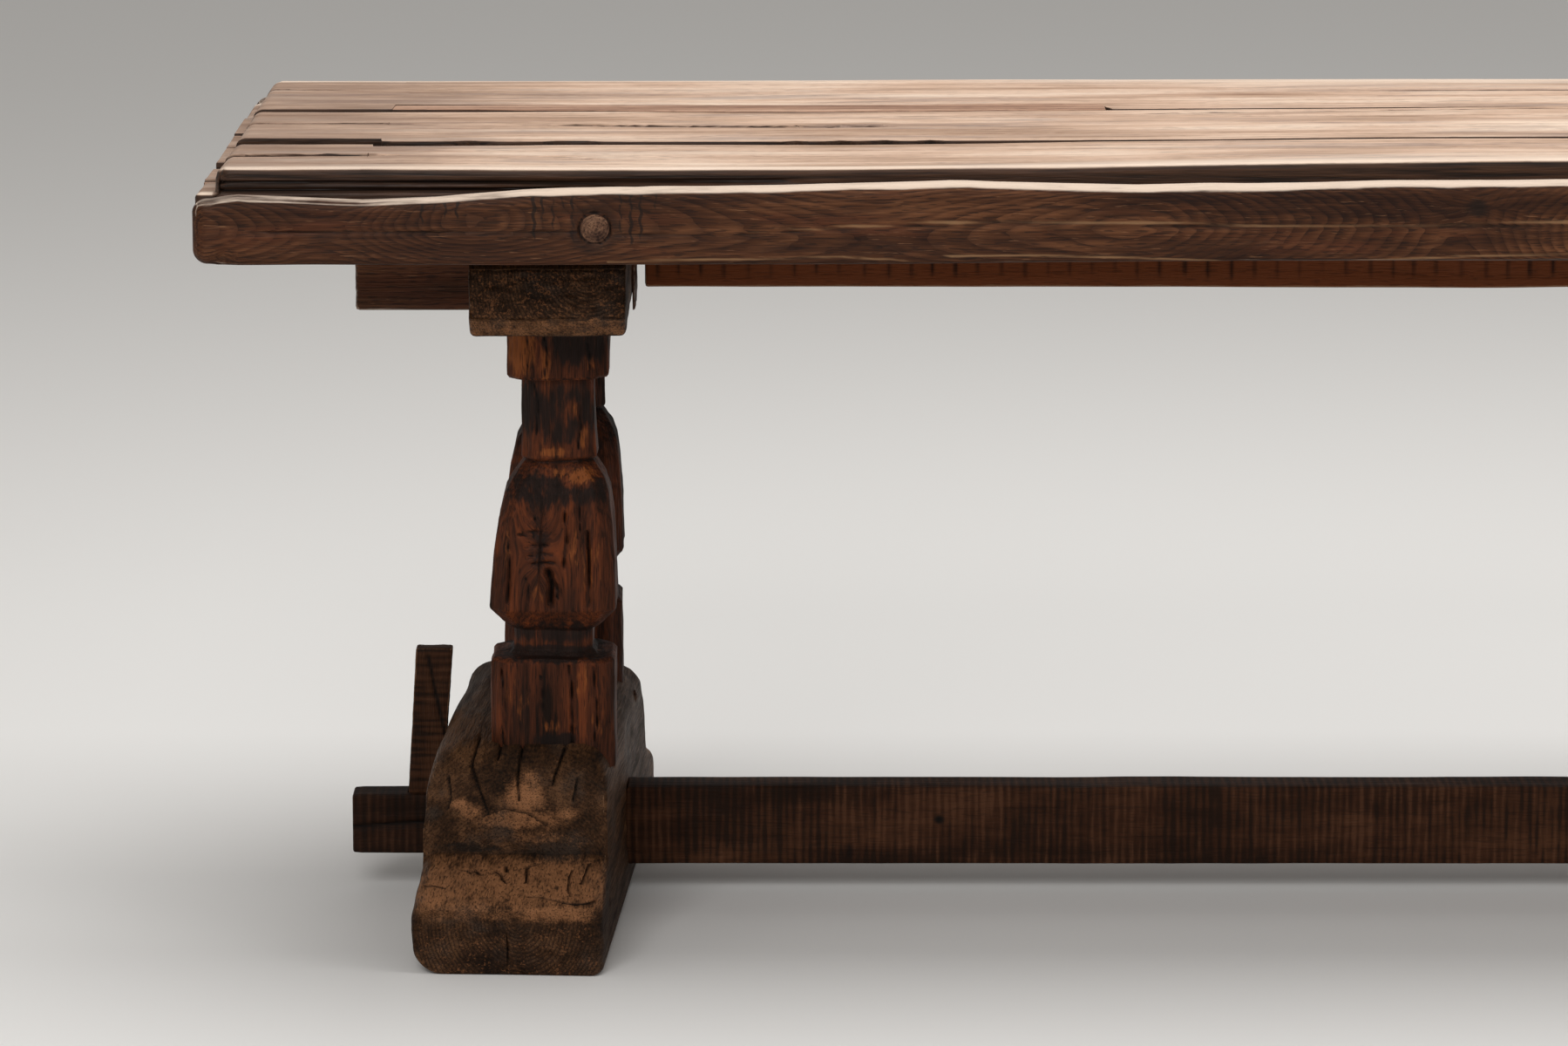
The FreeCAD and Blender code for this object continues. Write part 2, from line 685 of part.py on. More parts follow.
# Bearer across the top of the left trestle
HALF_BEARER = "([bearer_length] / 2)"
bearer_body = make_body("bearer_body")
bearer_points = [
    (f"-{HALF_BEARER} + [bevel_run]", BEARER_Z),
    (f"{HALF_BEARER} - [bevel_run]", BEARER_Z),
    (HALF_BEARER, f"{BEARER_Z} + [bevel_rise]"),
    (HALF_BEARER, f"{PLANK_Z} - [ease_drop]"),
    (f"{HALF_BEARER} - [ease_run]", PLANK_Z),
    (f"-{HALF_BEARER} + [ease_run]", PLANK_Z),
    (f"-{HALF_BEARER}", f"{PLANK_Z} - [ease_drop]"),
    (f"-{HALF_BEARER}", f"{BEARER_Z} + [bevel_rise]"),
]
pad(bearer_body, outline(bearer_body, "YZ_Plane", bearer_points), "[bearer_width]", symmetric=True)
housing = rectangle(
    bearer_body,
    "YZ_Plane",
    "-[bolster_width] / 2 - [lap_clearance]",
    f"{PLANK_Z} - [bearer_height] / 2",
    "[bolster_width] / 2 + [lap_clearance]",
    f"{PLANK_Z} + [lap_clearance]",
)
pocket(bearer_body, housing)
bind(bearer_body, "Placement.Base.x", f"-{TRESTLE_X}")
bearer_cuts = []
for spot, spread in SPREADS.items():
    low_level = f"{BEARER_Z} - [head_tenon]"
    bearer_cuts.append(mortise(f"{spot}_head_mortise", spread, low_level, "2 * [head_tenon] + [tenon_clearance]"))
    bearer_cuts.append(bore_rod(f"{spot}_head_bore", "head", spread))
left_bearer = keep(cut("left_bearer_cut", bearer_body, fuse("bearer_hollows", bearer_cuts)), "left_bearer")

# Bolster lapped over the bearer, along the table
left_bolster = make_body("left_bolster_body")
BOLSTER_Z = f"({PLANK_Z} - [bolster_height])"
bolster_points = [
    ("-[bolster_outer]", BOLSTER_Z),
    ("-[bearer_width] / 2 - [lap_clearance]", BOLSTER_Z),
    ("-[bearer_width] / 2 - [lap_clearance]", f"{PLANK_Z} - [bearer_height] / 2"),
    ("[bearer_width] / 2 + [lap_clearance]", f"{PLANK_Z} - [bearer_height] / 2"),
    ("[bearer_width] / 2 + [lap_clearance]", BOLSTER_Z),
    ("[bearer_width] / 2 + [bolster_inner]", BOLSTER_Z),
    ("[bearer_width] / 2 + [bolster_inner]", PLANK_Z),
    ("-[bolster_outer]", PLANK_Z),
]
bolster_side = outline(left_bolster, "XZ_Plane", bolster_points)
pad(left_bolster, bolster_side, "[bolster_width]", symmetric=True)
bind(left_bolster, "Placement.Base.x", f"-{TRESTLE_X}")
keep(left_bolster, "left_bolster")


# Posts, chamfered balusters between foot and bearer
SHOULDER_SHARE = 0.6


def section(body, level, width, depth, shift="0"):
    """Draw a post section, a rectangle with its corners cut off."""
    x, y, c = f"({width}) / 2", f"({depth}) / 2", "[post_chamfer]"
    corners = [
        (f"{shift} - {x} + {c}", f"-{y}"),
        (f"{shift} + {x} - {c}", f"-{y}"),
        (f"{shift} + {x}", f"-{y} + {c}"),
        (f"{shift} + {x}", f"{y} - {c}"),
        (f"{shift} + {x} - {c}", f"{y}"),
        (f"{shift} - {x} + {c}", f"{y}"),
        (f"{shift} - {x}", f"{y} - {c}"),
        (f"{shift} - {x}", f"-{y} + {c}"),
    ]
    return outline(body, "XY_Plane", corners, level)


def tenon(body, level, length):
    """Add a tenon at one end of a post."""
    plan = rectangle(
        body,
        "XY_Plane",
        "-[tenon_width] / 2",
        "-[tenon_depth] / 2",
        "[tenon_width] / 2",
        "[tenon_depth] / 2",
        level,
    )
    pad(body, plan, length)


def post(name, spread):
    """Build one post of the left trestle."""
    body = make_body(name + "_body")
    scribed = "[foot_height] - [scribe_depth]"
    plinth = section(body, scribed, "[plinth_width]", "[plinth_depth]")
    pad(body, plinth, "[plinth_height] + [scribe_depth]")
    pad(body, section(body, WAIST_Z, "[waist_width]", "[waist_depth]"), "[waist_height]")
    flare = section(body, FLARE_Z, "[flare_width]", "[flare_depth]")
    belly = section(body, BELLY_Z, "[belly_width]", "[belly_depth]")
    loft(body, [flare, belly], True)
    half = "[belly_height] / 2"
    stages = [
        section(body, BELLY_Z, "[belly_width]", "[belly_depth]"),
        section(
            body,
            f"{BELLY_Z} + {half}",
            "([belly_width] + [hip_width] + [belly_swell]) / 2",
            "([belly_depth] + [hip_depth] + [belly_swell]) / 2",
            "[post_shift] / 4",
        ),
        section(body, HIP_Z, "[hip_width]", "[hip_depth]", "[post_shift] / 2"),
        section(
            body,
            f"{HIP_Z} + {SHOULDER_SHARE} * [shoulder_height]",
            "[shoulder_width]",
            "[shoulder_depth]",
            "[post_shift]",
        ),
        section(body, NECK_Z, "[neck_width]", "[neck_depth]", "[post_shift]"),
    ]
    loft(body, stages, False)
    pad(body, section(body, NECK_Z, "[neck_width]", "[neck_depth]", "[post_shift]"), "[neck_height]")
    pad(body, section(body, ABACUS_Z, "[abacus_width]", "[abacus_depth]", "[post_shift]"), "[abacus_height]")
    tenon(body, "[foot_height] - [foot_tenon]", "[foot_tenon]")
    tenon(body, BEARER_Z, "[head_tenon]")
    bind(body, "Placement.Base.x", f"-{TRESTLE_X}")
    bind(body, "Placement.Base.y", spread)
    scribed_post = cut(name + "_scribed", body, left_foot)
    bore_rods = []
    for kind in PEG_LEVELS:
        bore_rods.append(bore_rod(f"{name}_{kind}_bore", kind, spread))
    return keep(cut(name + "_bored", scribed_post, fuse(name + "_bores", bore_rods)), name)


left_posts = [post(f"left_{spot}_post", spread) for spot, spread in SPREADS.items()]

# Pegs through the four post tenons of the left trestle
peg_solids = []
for spot, spread in SPREADS.items():
    for kind in PEG_LEVELS:
        peg_solids.append(peg_rod(f"{spot}_{kind}_peg", kind, spread))
left_pegs = keep(group("left_peg_group", peg_solids), "left_tenon_pegs")

# Wedge through the left tenon of the stretcher, leaning on the foot
LEAN = "tan([wedge_lean] * 1 deg)"
OUTER_LEAN = "tan(([wedge_lean] - [wedge_taper]) * 1 deg)"
TOUCH_Z = "([foot_height] - [foot_crown])"
FOOT_SIDE_X = f"(-[foot_offset] - [foot_width] / 2 + {TOUCH_Z} * tan([foot_draft] * 1 deg))"


def wedge_inner(level):
    """Give the inner face of the left wedge at a level, from the trestle middle."""
    return f"({FOOT_SIDE_X} - [wedge_clearance] + (({level}) - {TOUCH_Z}) * {LEAN})"


def wedge_outer(level):
    """Give the outer face of the left wedge at a level, from the trestle middle."""
    return f"({wedge_inner(WEDGE_TOP)} - [wedge_width] + (({level}) - {WEDGE_TOP}) * {OUTER_LEAN})"


left_wedge = make_body("left_wedge_body")
wedge_points = [
    (wedge_outer(WEDGE_FOOT), WEDGE_FOOT),
    (wedge_inner(WEDGE_FOOT), WEDGE_FOOT),
    (wedge_inner(WEDGE_TOP), WEDGE_TOP),
    (wedge_outer(WEDGE_TOP), WEDGE_TOP),
]
pad(left_wedge, outline(left_wedge, "XZ_Plane", wedge_points), "[wedge_thickness]", symmetric=True)
bind(left_wedge, "Placement.Base.x", f"-{TRESTLE_X}")
keep(left_wedge, "left_wedge")

# The right trestle repeats the left one
right_foot = keep(mirrored("right_foot_copy", left_foot), "right_foot")
keep(mirrored("right_bearer_copy", left_bearer), "right_bearer")
keep(mirrored("right_bolster_copy", left_bolster), "right_bolster")
for left_post, spot in zip(left_posts, SPREADS):
    keep(mirrored(f"right_{spot}_copy", left_post), f"right_{spot}_post")
keep(mirrored("right_peg_copy", left_pegs), "right_tenon_pegs")
keep(mirrored("right_wedge_copy", left_wedge), "right_wedge")

# Stretcher with a through tenon and a wedge slot at each end
stretcher_body = make_body("stretcher_body")
STRETCHER_TOP = "([stretcher_rise] + [stretcher_height])"
SHOULDER_X = f"({TRESTLE_X} - [stretcher_bite])"
TUSK_X = f"({TRESTLE_X} + [tusk_reach])"
beam = rectangle(stretcher_body, "XZ_Plane", f"-{SHOULDER_X}", "[stretcher_rise]", SHOULDER_X, STRETCHER_TOP)
pad(stretcher_body, beam, "[stretcher_width]", symmetric=True)
tusks = rectangle(stretcher_body, "XZ_Plane", f"-{TUSK_X}", TUSK_BOTTOM, TUSK_X, TUSK_TOP)
pad(stretcher_body, tusks, "[tusk_width]", symmetric=True)
SLOT_LOW = f"({TUSK_BOTTOM} - [wedge_short])"
SLOT_HIGH = f"({TUSK_TOP} + [wedge_short])"


def slot_points(side):
    """Outline of the wedge slot on the left with side -1 or the right with side 1."""
    points = []
    for level in (SLOT_LOW, SLOT_HIGH):
        outer = f"(-{TRESTLE_X} + {wedge_outer(level)} - [slot_clearance])"
        inner = f"(-{TRESTLE_X} + {wedge_inner(level)} + [slot_depth])"
        points.append((outer, inner, level))
    turn = "" if side < 0 else "-"
    (low_out, low_in, low), (high_out, high_in, high) = points
    return [
        (f"{turn}{low_out}", low),
        (f"{turn}{low_in}", low),
        (f"{turn}{high_in}", high),
        (f"{turn}{high_out}", high),
    ]


for side in (-1, 1):
    slot = outline(stretcher_body, "XZ_Plane", slot_points(side))
    pocket(stretcher_body, slot, "[wedge_thickness] + 2 * [slot_clearance]")
half_fitted = cut("stretcher_left_fit", stretcher_body, left_foot)
keep(cut("stretcher_right_fit", half_fitted, right_foot), "stretcher")

# Check every object and write the pieces
doc.recompute()
for obj in doc.Objects:
    if "Invalid" in obj.State or "Error" in obj.State:
        raise RuntimeError(f"{obj.Name} is not sound: {obj.State}")
for piece in pieces:
    if piece.Shape.isNull() or not piece.Shape.isValid():
        raise RuntimeError(f"{piece.Label} has no valid shape")
    piece.Shape.exportStep(f"parts/{piece.Label}.step")
    print(piece.Label, len(piece.Shape.Solids), round(piece.Shape.Volume / 1000))
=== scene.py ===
import itertools
import math

import bmesh
import bpy
import numpy as np
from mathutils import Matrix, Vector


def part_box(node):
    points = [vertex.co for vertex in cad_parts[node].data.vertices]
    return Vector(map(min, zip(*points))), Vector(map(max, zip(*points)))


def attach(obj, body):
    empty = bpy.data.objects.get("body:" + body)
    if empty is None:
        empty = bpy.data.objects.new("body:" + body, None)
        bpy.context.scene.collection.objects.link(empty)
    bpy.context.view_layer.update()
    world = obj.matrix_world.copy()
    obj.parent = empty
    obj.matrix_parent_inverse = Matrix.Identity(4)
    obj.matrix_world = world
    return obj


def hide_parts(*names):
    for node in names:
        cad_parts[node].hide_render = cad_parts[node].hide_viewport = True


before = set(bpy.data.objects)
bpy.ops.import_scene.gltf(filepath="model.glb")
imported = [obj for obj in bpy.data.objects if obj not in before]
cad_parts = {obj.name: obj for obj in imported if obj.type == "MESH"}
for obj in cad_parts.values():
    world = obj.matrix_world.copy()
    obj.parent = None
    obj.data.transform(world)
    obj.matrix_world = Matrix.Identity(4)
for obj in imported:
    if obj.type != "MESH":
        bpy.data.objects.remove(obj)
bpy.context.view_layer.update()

bl_info = {
    "name": "Refectory table",
    "version": (1, 0, 0),
    "blender": (4, 5, 0),
    "location": "View3D > Sidebar > Refectory",
    "description": "Dresses the frame of a rustic trestle table in old worn oak",
    "category": "Object",
}

# Sizes and colours that a user would change


def srgb(code):
    """Turn an sRGB hex colour into linear RGBA."""
    linear = []
    for start in (1, 3, 5):
        channel = int(code[start:start + 2], 16) / 255
        linear.append(channel / 12.92 if channel <= 0.04045 else ((channel + 0.055) / 1.055) ** 2.4)
    return (*linear, 1.0)


def metres(name, note, value):
    """Make a length property, in metres."""
    return bpy.props.FloatProperty(
        name=name, description=note, default=value, subtype="DISTANCE", unit="LENGTH"
    )


def shade(name, note, code):
    """Make a colour property from an sRGB hex value."""
    return bpy.props.FloatVectorProperty(
        name=name, description=note, default=srgb(code), size=4, min=0, max=1, subtype="COLOR"
    )


class TopSizes(bpy.types.PropertyGroup):
    """Sizes of the planks and rails of the top."""

    lip_length: metres("Lip length", "Lowered lip at each end of the planks", 0.019)
    lip_drop: metres("Lip drop", "Lip below the upper face of the planks", 0.024)
    field_corner: metres("Field corner", "Rounded corners of the raised field, in plan", 0.016)
    field_round: metres("Field round", "Rounded end edges of the raised field", 0.011)
    jog_start: metres("Jog", "Jog of the front joint from the left end", 0.156)
    jog_gap: metres("Jog gap", "Open end of the jog, along the table", 0.006)
    open_end: metres("Worn joint end", "Where the worn front joint closes, from the left end", 0.9)
    open_gap: metres("Worn joint gap", "Worn front joint at its widest", 0.022)
    front_gap: metres("Front gap", "Front joint right through", 0.006)
    end_gap: metres("End gap", "Front joint left of the jog", 0.014)
    sliver_width: metres("Sliver", "Wood torn off the middle plank left of the jog", 0.02)
    plank_round: metres("Plank edge", "Worn round of the outer edges of the planks", 0.008)
    joint_round: metres("Joint edge", "Round of the plank edges along the joints", 0.002)
    rail_round: metres("Rail edge", "Worn round of the lower rail edges", 0.005)
    rim_round: metres("Rail rim", "Worn round of the upper rail edges", 0.0115)
    rail_corner: metres("Rail corner", "Rounded ends of the rails", 0.014)


class TrestleSizes(bpy.types.PropertyGroup):
    """Sizes of the posts, feet and bearers."""

    plinth_width: metres("Plinth width", "Post plinth along the table", 0.122)
    plinth_depth: metres("Plinth depth", "Post plinth front to back", 0.1)
    plinth_top: metres("Plinth top", "Top of the plinth above the floor", 0.278)
    waist_width: metres("Waist width", "Post waist along the table", 0.079)
    waist_depth: metres("Waist depth", "Post waist front to back", 0.072)
    waist_top: metres("Waist top", "Top of the waist above the floor", 0.308)
    belly_width: metres("Belly width", "Foot of the belly along the table", 0.125)
    belly_depth: metres("Belly depth", "Foot of the belly front to back", 0.102)
    belly_foot: metres("Belly foot", "Foot of the belly above the floor", 0.326)
    hip_width: metres("Hip width", "Top of the belly along the table", 0.111)
    hip_depth: metres("Hip depth", "Top of the belly front to back", 0.095)
    hip_top: metres("Hip", "Top of the belly above the floor", 0.426)
    neck_width: metres("Neck width", "Post neck along the table", 0.072)
    neck_depth: metres("Neck depth", "Post neck front to back", 0.066)
    neck_foot: metres("Neck foot", "Foot of the neck above the floor", 0.473)
    abacus_width: metres("Head width", "Post head along the table", 0.1)
    abacus_depth: metres("Head depth", "Post head front to back", 0.092)
    abacus_foot: metres("Head foot", "Underside of the post head above the floor", 0.555)
    post_shift: metres("Post shift", "Neck and head inboard of the plinth", 0.006)
    post_chamfer: metres("Post chamfer", "Chamfered corners of the posts", 0.012)
    foot_width: metres("Foot width", "Foot along the table, at the floor", 0.19)
    foot_length: metres("Foot length", "Foot front to back", 0.7)
    hump_length: metres("Hump length", "Flat top of the hump", 0.35)
    hump_radius: metres("Hump radius", "Rounded ends of the hump", 0.07)
    step_rise: metres("Step", "Upright face between toe and hump", 0.031)
    toe_fall: metres("Toe fall", "Slope of the toe", 0.028)
    foot_crown: metres("Foot crown", "Rounded upper edges of the hump", 0.03)
    foot_wane: metres("Foot wane", "Rounded lower outboard edge of the foot", 0.03)
    foot_offset: metres("Foot offset", "Foot outboard of the posts", 0.023)
    bevel_run: metres("Bevel run", "Bevel under the bearer ends, front to back", 0.028)
    bevel_rise: metres("Bevel rise", "Bevel under the bearer ends, top to bottom", 0.022)
    ease_run: metres("Ease run", "Eased top of the bearer ends, front to back", 0.026)
    ease_drop: metres("Ease drop", "Eased top of the bearer ends, top to bottom", 0.019)


class WoodColours(bpy.types.PropertyGroup):
    """Tones of the old oak."""

    # The top tones are bleached wood with painted light from above in them
    top_dark: shade("Top dark", "Brown streaks of the bleached top", "#94765f")
    top_mid: shade("Top", "Bleached top", "#d1af96")
    top_light: shade("Top light", "Rubbed wood of the top", "#efd6bf")
    # Worn edges, and painted highlights on the front edges of the planks and the rims of the rails
    worn_edge: shade("Worn edge", "Wood rubbed bare at the edges", "#e6d0bc")
    # Grime, and painted shade on the sides and low faces of the planks
    grime: shade("Grime", "Grime on the sides of the planks", "#20150f")
    slip: shade("Slip", "Slip in the back joint", "#a67f67")
    rail_dark: shade("Rail dark", "Dark streaks of the rails", "#241108")
    rail_mid: shade("Rail", "Oiled rails", "#432512")
    rail_light: shade("Rail light", "Pale fibres of the rails", "#694127")
    beam_dark: shade("Beam dark", "Saw bands of the beams", "#190e07")
    beam_mid: shade("Beam", "Sawn beams", "#341c0e")
    beam_light: shade("Beam light", "Pale saw lines of the beams", "#4c2e1b")
    beam_red: shade("Beam red", "Red-brown rail under the top", "#6b371b")
    post_dark: shade("Post dark", "Black streaks of the posts", "#180d07")
    post_mid: shade("Post", "Stained posts", "#482311")
    post_light: shade("Post light", "Red fibres of the posts", "#6d3518")
    rubbed: shade("Rubbed wood", "Orange wood where the stain is rubbed off", "#854a22")
    foot_dark: shade("Foot dark", "Dark streaks of the feet", "#190f08")
    foot_mid: shade("Foot", "Weathered feet", "#392414")
    foot_light: shade("Foot light", "Pale fibres of the feet", "#5c3e27")
    foot_rub: shade("Foot rubbed", "Tan wood of the feet", "#9a6946")
    floor: shade("Floor", "Studio floor", "#eceae7")


# Grid boxes and sculpting

# Grid lines are never closer than this, and points this near a face lie on it
CLOSEST = 0.0004
# Blender makes no more cuts than this in one pass
MOST_CUTS = 100
# Grid steps along X, Y and Z; the width and depth of a post and the height of a foot count in shares
GRID_STEPS = {
    "plank": (0.0145, 0.0035, 0.009),
    "slip": (0.0145, 0.0028, 0.006),
    "rail": (0.0145, 0.004, 0.0026),
    "under_rail": (0.0024, 0.005, 0.004),
    "stretcher": (0.009, 0.005, 0.0027),
    "wedge": (0.003, 0.003, 0.003),
    "bearer": (0.003, 0.007, 0.003),
    "bolster": (0.005, 0.0045, 0.0045),
    "post": (0.046, 0.046, 0.0026),
    "foot": (0.0018, 0.008, 0.035),
}
# Numbers that turn a place on a lattice into a random height that is always the same
LATTICE_STRIDES = np.array([73856093, 19349663, 83492791], dtype=np.int64)
LATTICE_STIR = 1274126177
LATTICE_RANGE = 0xFFFF
SEED_STEP = 31.7
# Layers of ripples, each half the size and height of the last, and what their sum is divided by
ROUGH_LAYERS = 3
ROUGH_SUM = 1.5
# Seeds take their grain this far apart along the same wood
GRAIN_SHIFT = 2.3
# Faces that meet at more than this angle keep a sharp edge
SHARP_ANGLE = math.radians(40)


def grid_lines(low, high, step, dense=()):
    """Place grid lines from low to high about a step apart, closer together where asked."""
    count = max(2, round((high - low) / step) + 1)
    places = [np.linspace(low, high, count)]
    for centre, reach, fine in dense:
        places.append(np.arange(centre - reach, centre + reach + fine / 2, fine))
    kept = [low]
    for place in np.unique(np.clip(np.concatenate(places), low, high)):
        if place - kept[-1] > CLOSEST and high - place > CLOSEST:
            kept.append(place)
    return np.array(kept + [high])


def cutting_plan(lines):
    """Give the lines, with a few more in the widest gaps, and how many cuts to make in each pass."""
    groups = -(-(len(lines) - 1) // (MOST_CUTS + 1))
    while (len(lines) - 1) % groups:
        widest = int(np.argmax(np.diff(lines)))
        lines = np.insert(lines, widest + 1, lines[widest:widest + 2].mean())
    cuts = (groups - 1, (len(lines) - 1) // groups - 1)
    return lines, [number for number in cuts if number]


def grid_box(name, kind, low, high, dense=((), (), ())):
    """Add a box with its faces cut into a grid, by the steps of its kind and closer where asked."""
    spans = zip(low, high, GRID_STEPS[kind], dense)
    plans = [cutting_plan(grid_lines(*span)) for span in spans]
    bpy.ops.object.select_all(action="DESELECT")
    bpy.ops.mesh.primitive_cube_add(size=2)
    piece = bpy.context.object
    piece.name = name
    piece.data.name = name
    bpy.ops.object.mode_set(mode="EDIT")
    bpy.ops.mesh.select_mode(type="EDGE")
    for axis, plan in enumerate(plans):
        for number in plan[1]:
            bpy.ops.mesh.select_all(action="DESELECT")
            mesh = bmesh.from_edit_mesh(piece.data)
            for edge in mesh.edges:
                if abs(edge.verts[0].co[axis] - edge.verts[1].co[axis]) > CLOSEST:
                    edge.select_set(True)
            bmesh.update_edit_mesh(piece.data)
            bpy.ops.mesh.subdivide(number_cuts=number)
    bpy.ops.object.mode_set(mode="OBJECT")
    points = read_points(piece)
    for axis, plan in enumerate(plans):
        places = plan[0]
        order = np.rint((points[:, axis] + 1) / 2 * (len(places) - 1)).astype(int)
        points[:, axis] = places[order]
    return piece, points


def read_points(piece):
    """Read the vertices of a piece."""
    points = np.empty(len(piece.data.vertices) * 3, dtype=np.float32)
    piece.data.vertices.foreach_get("co", points)
    return points.reshape(-1, 3).astype(float)


def write_points(piece, points):
    """Move the vertices of a piece."""
    piece.data.vertices.foreach_set("co", points.astype(np.float32).ravel())
    piece.data.update()


def facing(piece):
    """Read the directions that the vertices of a piece face."""
    normals = np.empty(len(piece.data.vertices) * 3, dtype=np.float32)
    piece.data.vertex_normals.foreach_get("vector", normals)
    return normals.reshape(-1, 3).astype(float)


def ripple(points, size, seed):
    """Give smooth random heights from -1 to 1, with swells about as long as size along X, Y and Z."""
    place = points / np.asarray(size, dtype=float) + SEED_STEP * seed
    cell = np.floor(place).astype(np.int64)
    part = place - cell
    part = part * part * (3 - 2 * part)
    total = np.zeros(len(points))
    for corner in itertools.product((0, 1), repeat=3):
        share = np.prod(np.where(np.array(corner) == 1, part, 1 - part), axis=1)
        code = (cell + np.array(corner)) @ LATTICE_STRIDES
        code = (code ^ (code >> 13)) * LATTICE_STIR
        height = ((code ^ (code >> 16)) & LATTICE_RANGE) / LATTICE_RANGE
        total += share * (height * 2 - 1)
    return total


def rough(points, size, seed):
    """Add finer and fainter ripples together."""
    size = np.asarray(size, dtype=float)
    total = np.zeros(len(points))
    for layer in range(ROUGH_LAYERS):
        total += ripple(points, size / 2 ** layer, seed + layer) / 2 ** layer
    return total / ROUGH_SUM


def along_x(x, size, seed):
    """Give smooth random heights that change along one direction only."""
    line = np.zeros((len(x), 3))
    line[:, 0] = x
    return rough(line, (size, 1.0, 1.0), seed)


def smooth(value, start, end):
    """Rise smoothly from 0 at start to 1 at end."""
    part = np.clip((value - start) / (end - start), 0, 1)
    return part * part * (3 - 2 * part)


def soften(points, low, high, radius, sharpness=2.0):
    """Round the edges of a box to an arc, or to nearly a chamfer when sharpness is near 1."""
    radius = np.broadcast_to(radius, len(points))[:, None]
    core = np.clip(points, low + radius, high - radius)
    reach = points - core
    size = (np.abs(reach) ** sharpness).sum(axis=1, keepdims=True) ** (1 / sharpness)
    largest = np.abs(reach).max(axis=1, keepdims=True)
    return core + reach * np.divide(largest, size, out=np.ones_like(size), where=size > 0)


def edge_nearness(points, low, high, width):
    """Give 1 on the edges of a box, fading out over a width."""
    gaps = np.sort(np.minimum(points - low, high - points), axis=1)
    return np.exp(-gaps[:, 1] / width)


def groove(across, along, path, width):
    """Give 1 on a line drawn through a path, fading out to 0 at a width either side."""
    place = np.stack([across, along], axis=1)
    best = np.full(len(place), np.inf)
    path = np.asarray(path, dtype=float)
    for start, end in zip(path[:-1], path[1:]):
        run = end - start
        share = np.clip((place - start) @ run / (run @ run), 0, 1)
        best = np.minimum(best, np.linalg.norm(place - start - share[:, None] * run, axis=1))
    return np.clip(1 - best / width, 0, 1)


def spots(across, along, places):
    """Give the strongest of several soft spots, each at a place with two radii and a strength."""
    total = np.zeros(len(across))
    for centre_across, centre_along, reach_across, reach_along, strength in places:
        far = np.hypot((across - centre_across) / reach_across, (along - centre_along) / reach_along)
        total = np.maximum(total, strength * np.clip(1.5 - far, 0, 1))
    return total


def grain_along(points, axis, pith, seed):
    """Give each point its place along the grain and across it from the heart of the tree."""
    turned = np.roll(points - np.asarray(pith), -axis, axis=1)
    turned[:, 0] += GRAIN_SHIFT * seed
    return turned


def paint(piece, **layers):
    """Store named layers of painted values on the vertices of a piece."""
    for name, values in layers.items():
        kind, field = ("FLOAT_VECTOR", "vector") if values.ndim == 2 else ("FLOAT", "value")
        layer = piece.data.attributes.new(name, kind, "POINT")
        layer.data.foreach_set(field, values.astype(np.float32).ravel())


def pick(*pieces):
    """Select some pieces alone, the first one active."""
    bpy.ops.object.select_all(action="DESELECT")
    for piece in pieces:
        piece.select_set(True)
    bpy.context.view_layer.objects.active = pieces[0]


def dress(piece, nodes, body, material):
    """Smooth a finished piece, give it its wood and set it on its body in place of its solids."""
    piece.data.materials.clear()
    piece.data.materials.append(material)
    pick(piece)
    bpy.ops.object.shade_smooth_by_angle(angle=SHARP_ANGLE)
    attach(piece, body)
    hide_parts(*nodes)


# Woods


def put(tree, kind, inputs=None, stops=(), **settings):
    """Add a node with its settings, its ramp stops and its inputs, each a value or an output to link."""
    made = tree.nodes.new("ShaderNode" + kind)
    for key, value in settings.items():
        setattr(made, key, value)
    if stops:
        ramp = made.color_ramp
        ramp.elements[0].position, ramp.elements[0].color = stops[0]
        ramp.elements[1].position, ramp.elements[1].color = stops[-1]
        for position, colour in stops[1:-1]:
            ramp.elements.new(position).color = colour
    for socket, value in (inputs or {}).items():
        if isinstance(value, bpy.types.NodeSocket):
            tree.links.new(value, made.inputs[socket])
        else:
            made.inputs[socket].default_value = value
    return made


# Sockets of the mix node when it mixes colours
MIX_OUT = 2
MIX_A = 6
MIX_B = 7
# Blender's wave texture repeats every 0.314 units at scale 1
WAVE_UNIT = 0.31416
# How far the rings wander across the grain, and how much slower they change along it
RING_DRIFT = (0.0, 0.016, 0.016)
RING_STRETCH = (0.04, 1.0, 1.0)
# Tones of single marks, beside the tones that a user would change
TONES = {
    "grime_light": srgb("#4d3425"),
    "top_grey": srgb("#8b7c77"),
    "top_tan": srgb("#9a7257"),
    "top_blotch": srgb("#5d5754"),
    "top_fibre": srgb("#4f3a2d"),
    "top_pore": srgb("#6a5142"),
    "top_soot": srgb("#7a5f4f"),
    "top_crack": srgb("#120b07"),
    "rail_red": srgb("#5a2f1a"),
    "rail_fibre": srgb("#94694a"),
    "rail_pore": srgb("#1d100a"),
    "rail_soot": srgb("#1c110b"),
    "rail_line": srgb("#94704f"),
    "rail_crack": srgb("#140c08"),
    "slip_dark": srgb("#6f5140"),
    "slip_light": srgb("#c9a288"),
    "slip_pore": srgb("#4a3023"),
    "saw_ridge": srgb("#5e3d29"),
    "beam_edge": srgb("#7d5b43"),
    "beam_crack": srgb("#0d0805"),
    "post_streak": srgb("#1c120d"),
    "post_soot": srgb("#17100d"),
    "post_edge": srgb("#84604a"),
    "post_crack": srgb("#0a0604"),
    "foot_grey": srgb("#3a3029"),
    "foot_soot": srgb("#1a130e"),
    "foot_speck": srgb("#734a2e"),
    "foot_edge": srgb("#86664d"),
    "foot_crack": srgb("#0c0805"),
    "peg_mid": srgb("#573b2a"),
    "peg_light": srgb("#7d5a42"),
}
# The saw's strokes are this far apart, and nearly straight across the grain
STROKE_PITCH = 0.0078
STROKE_STRETCH = (1.0, 0.12, 0.12)


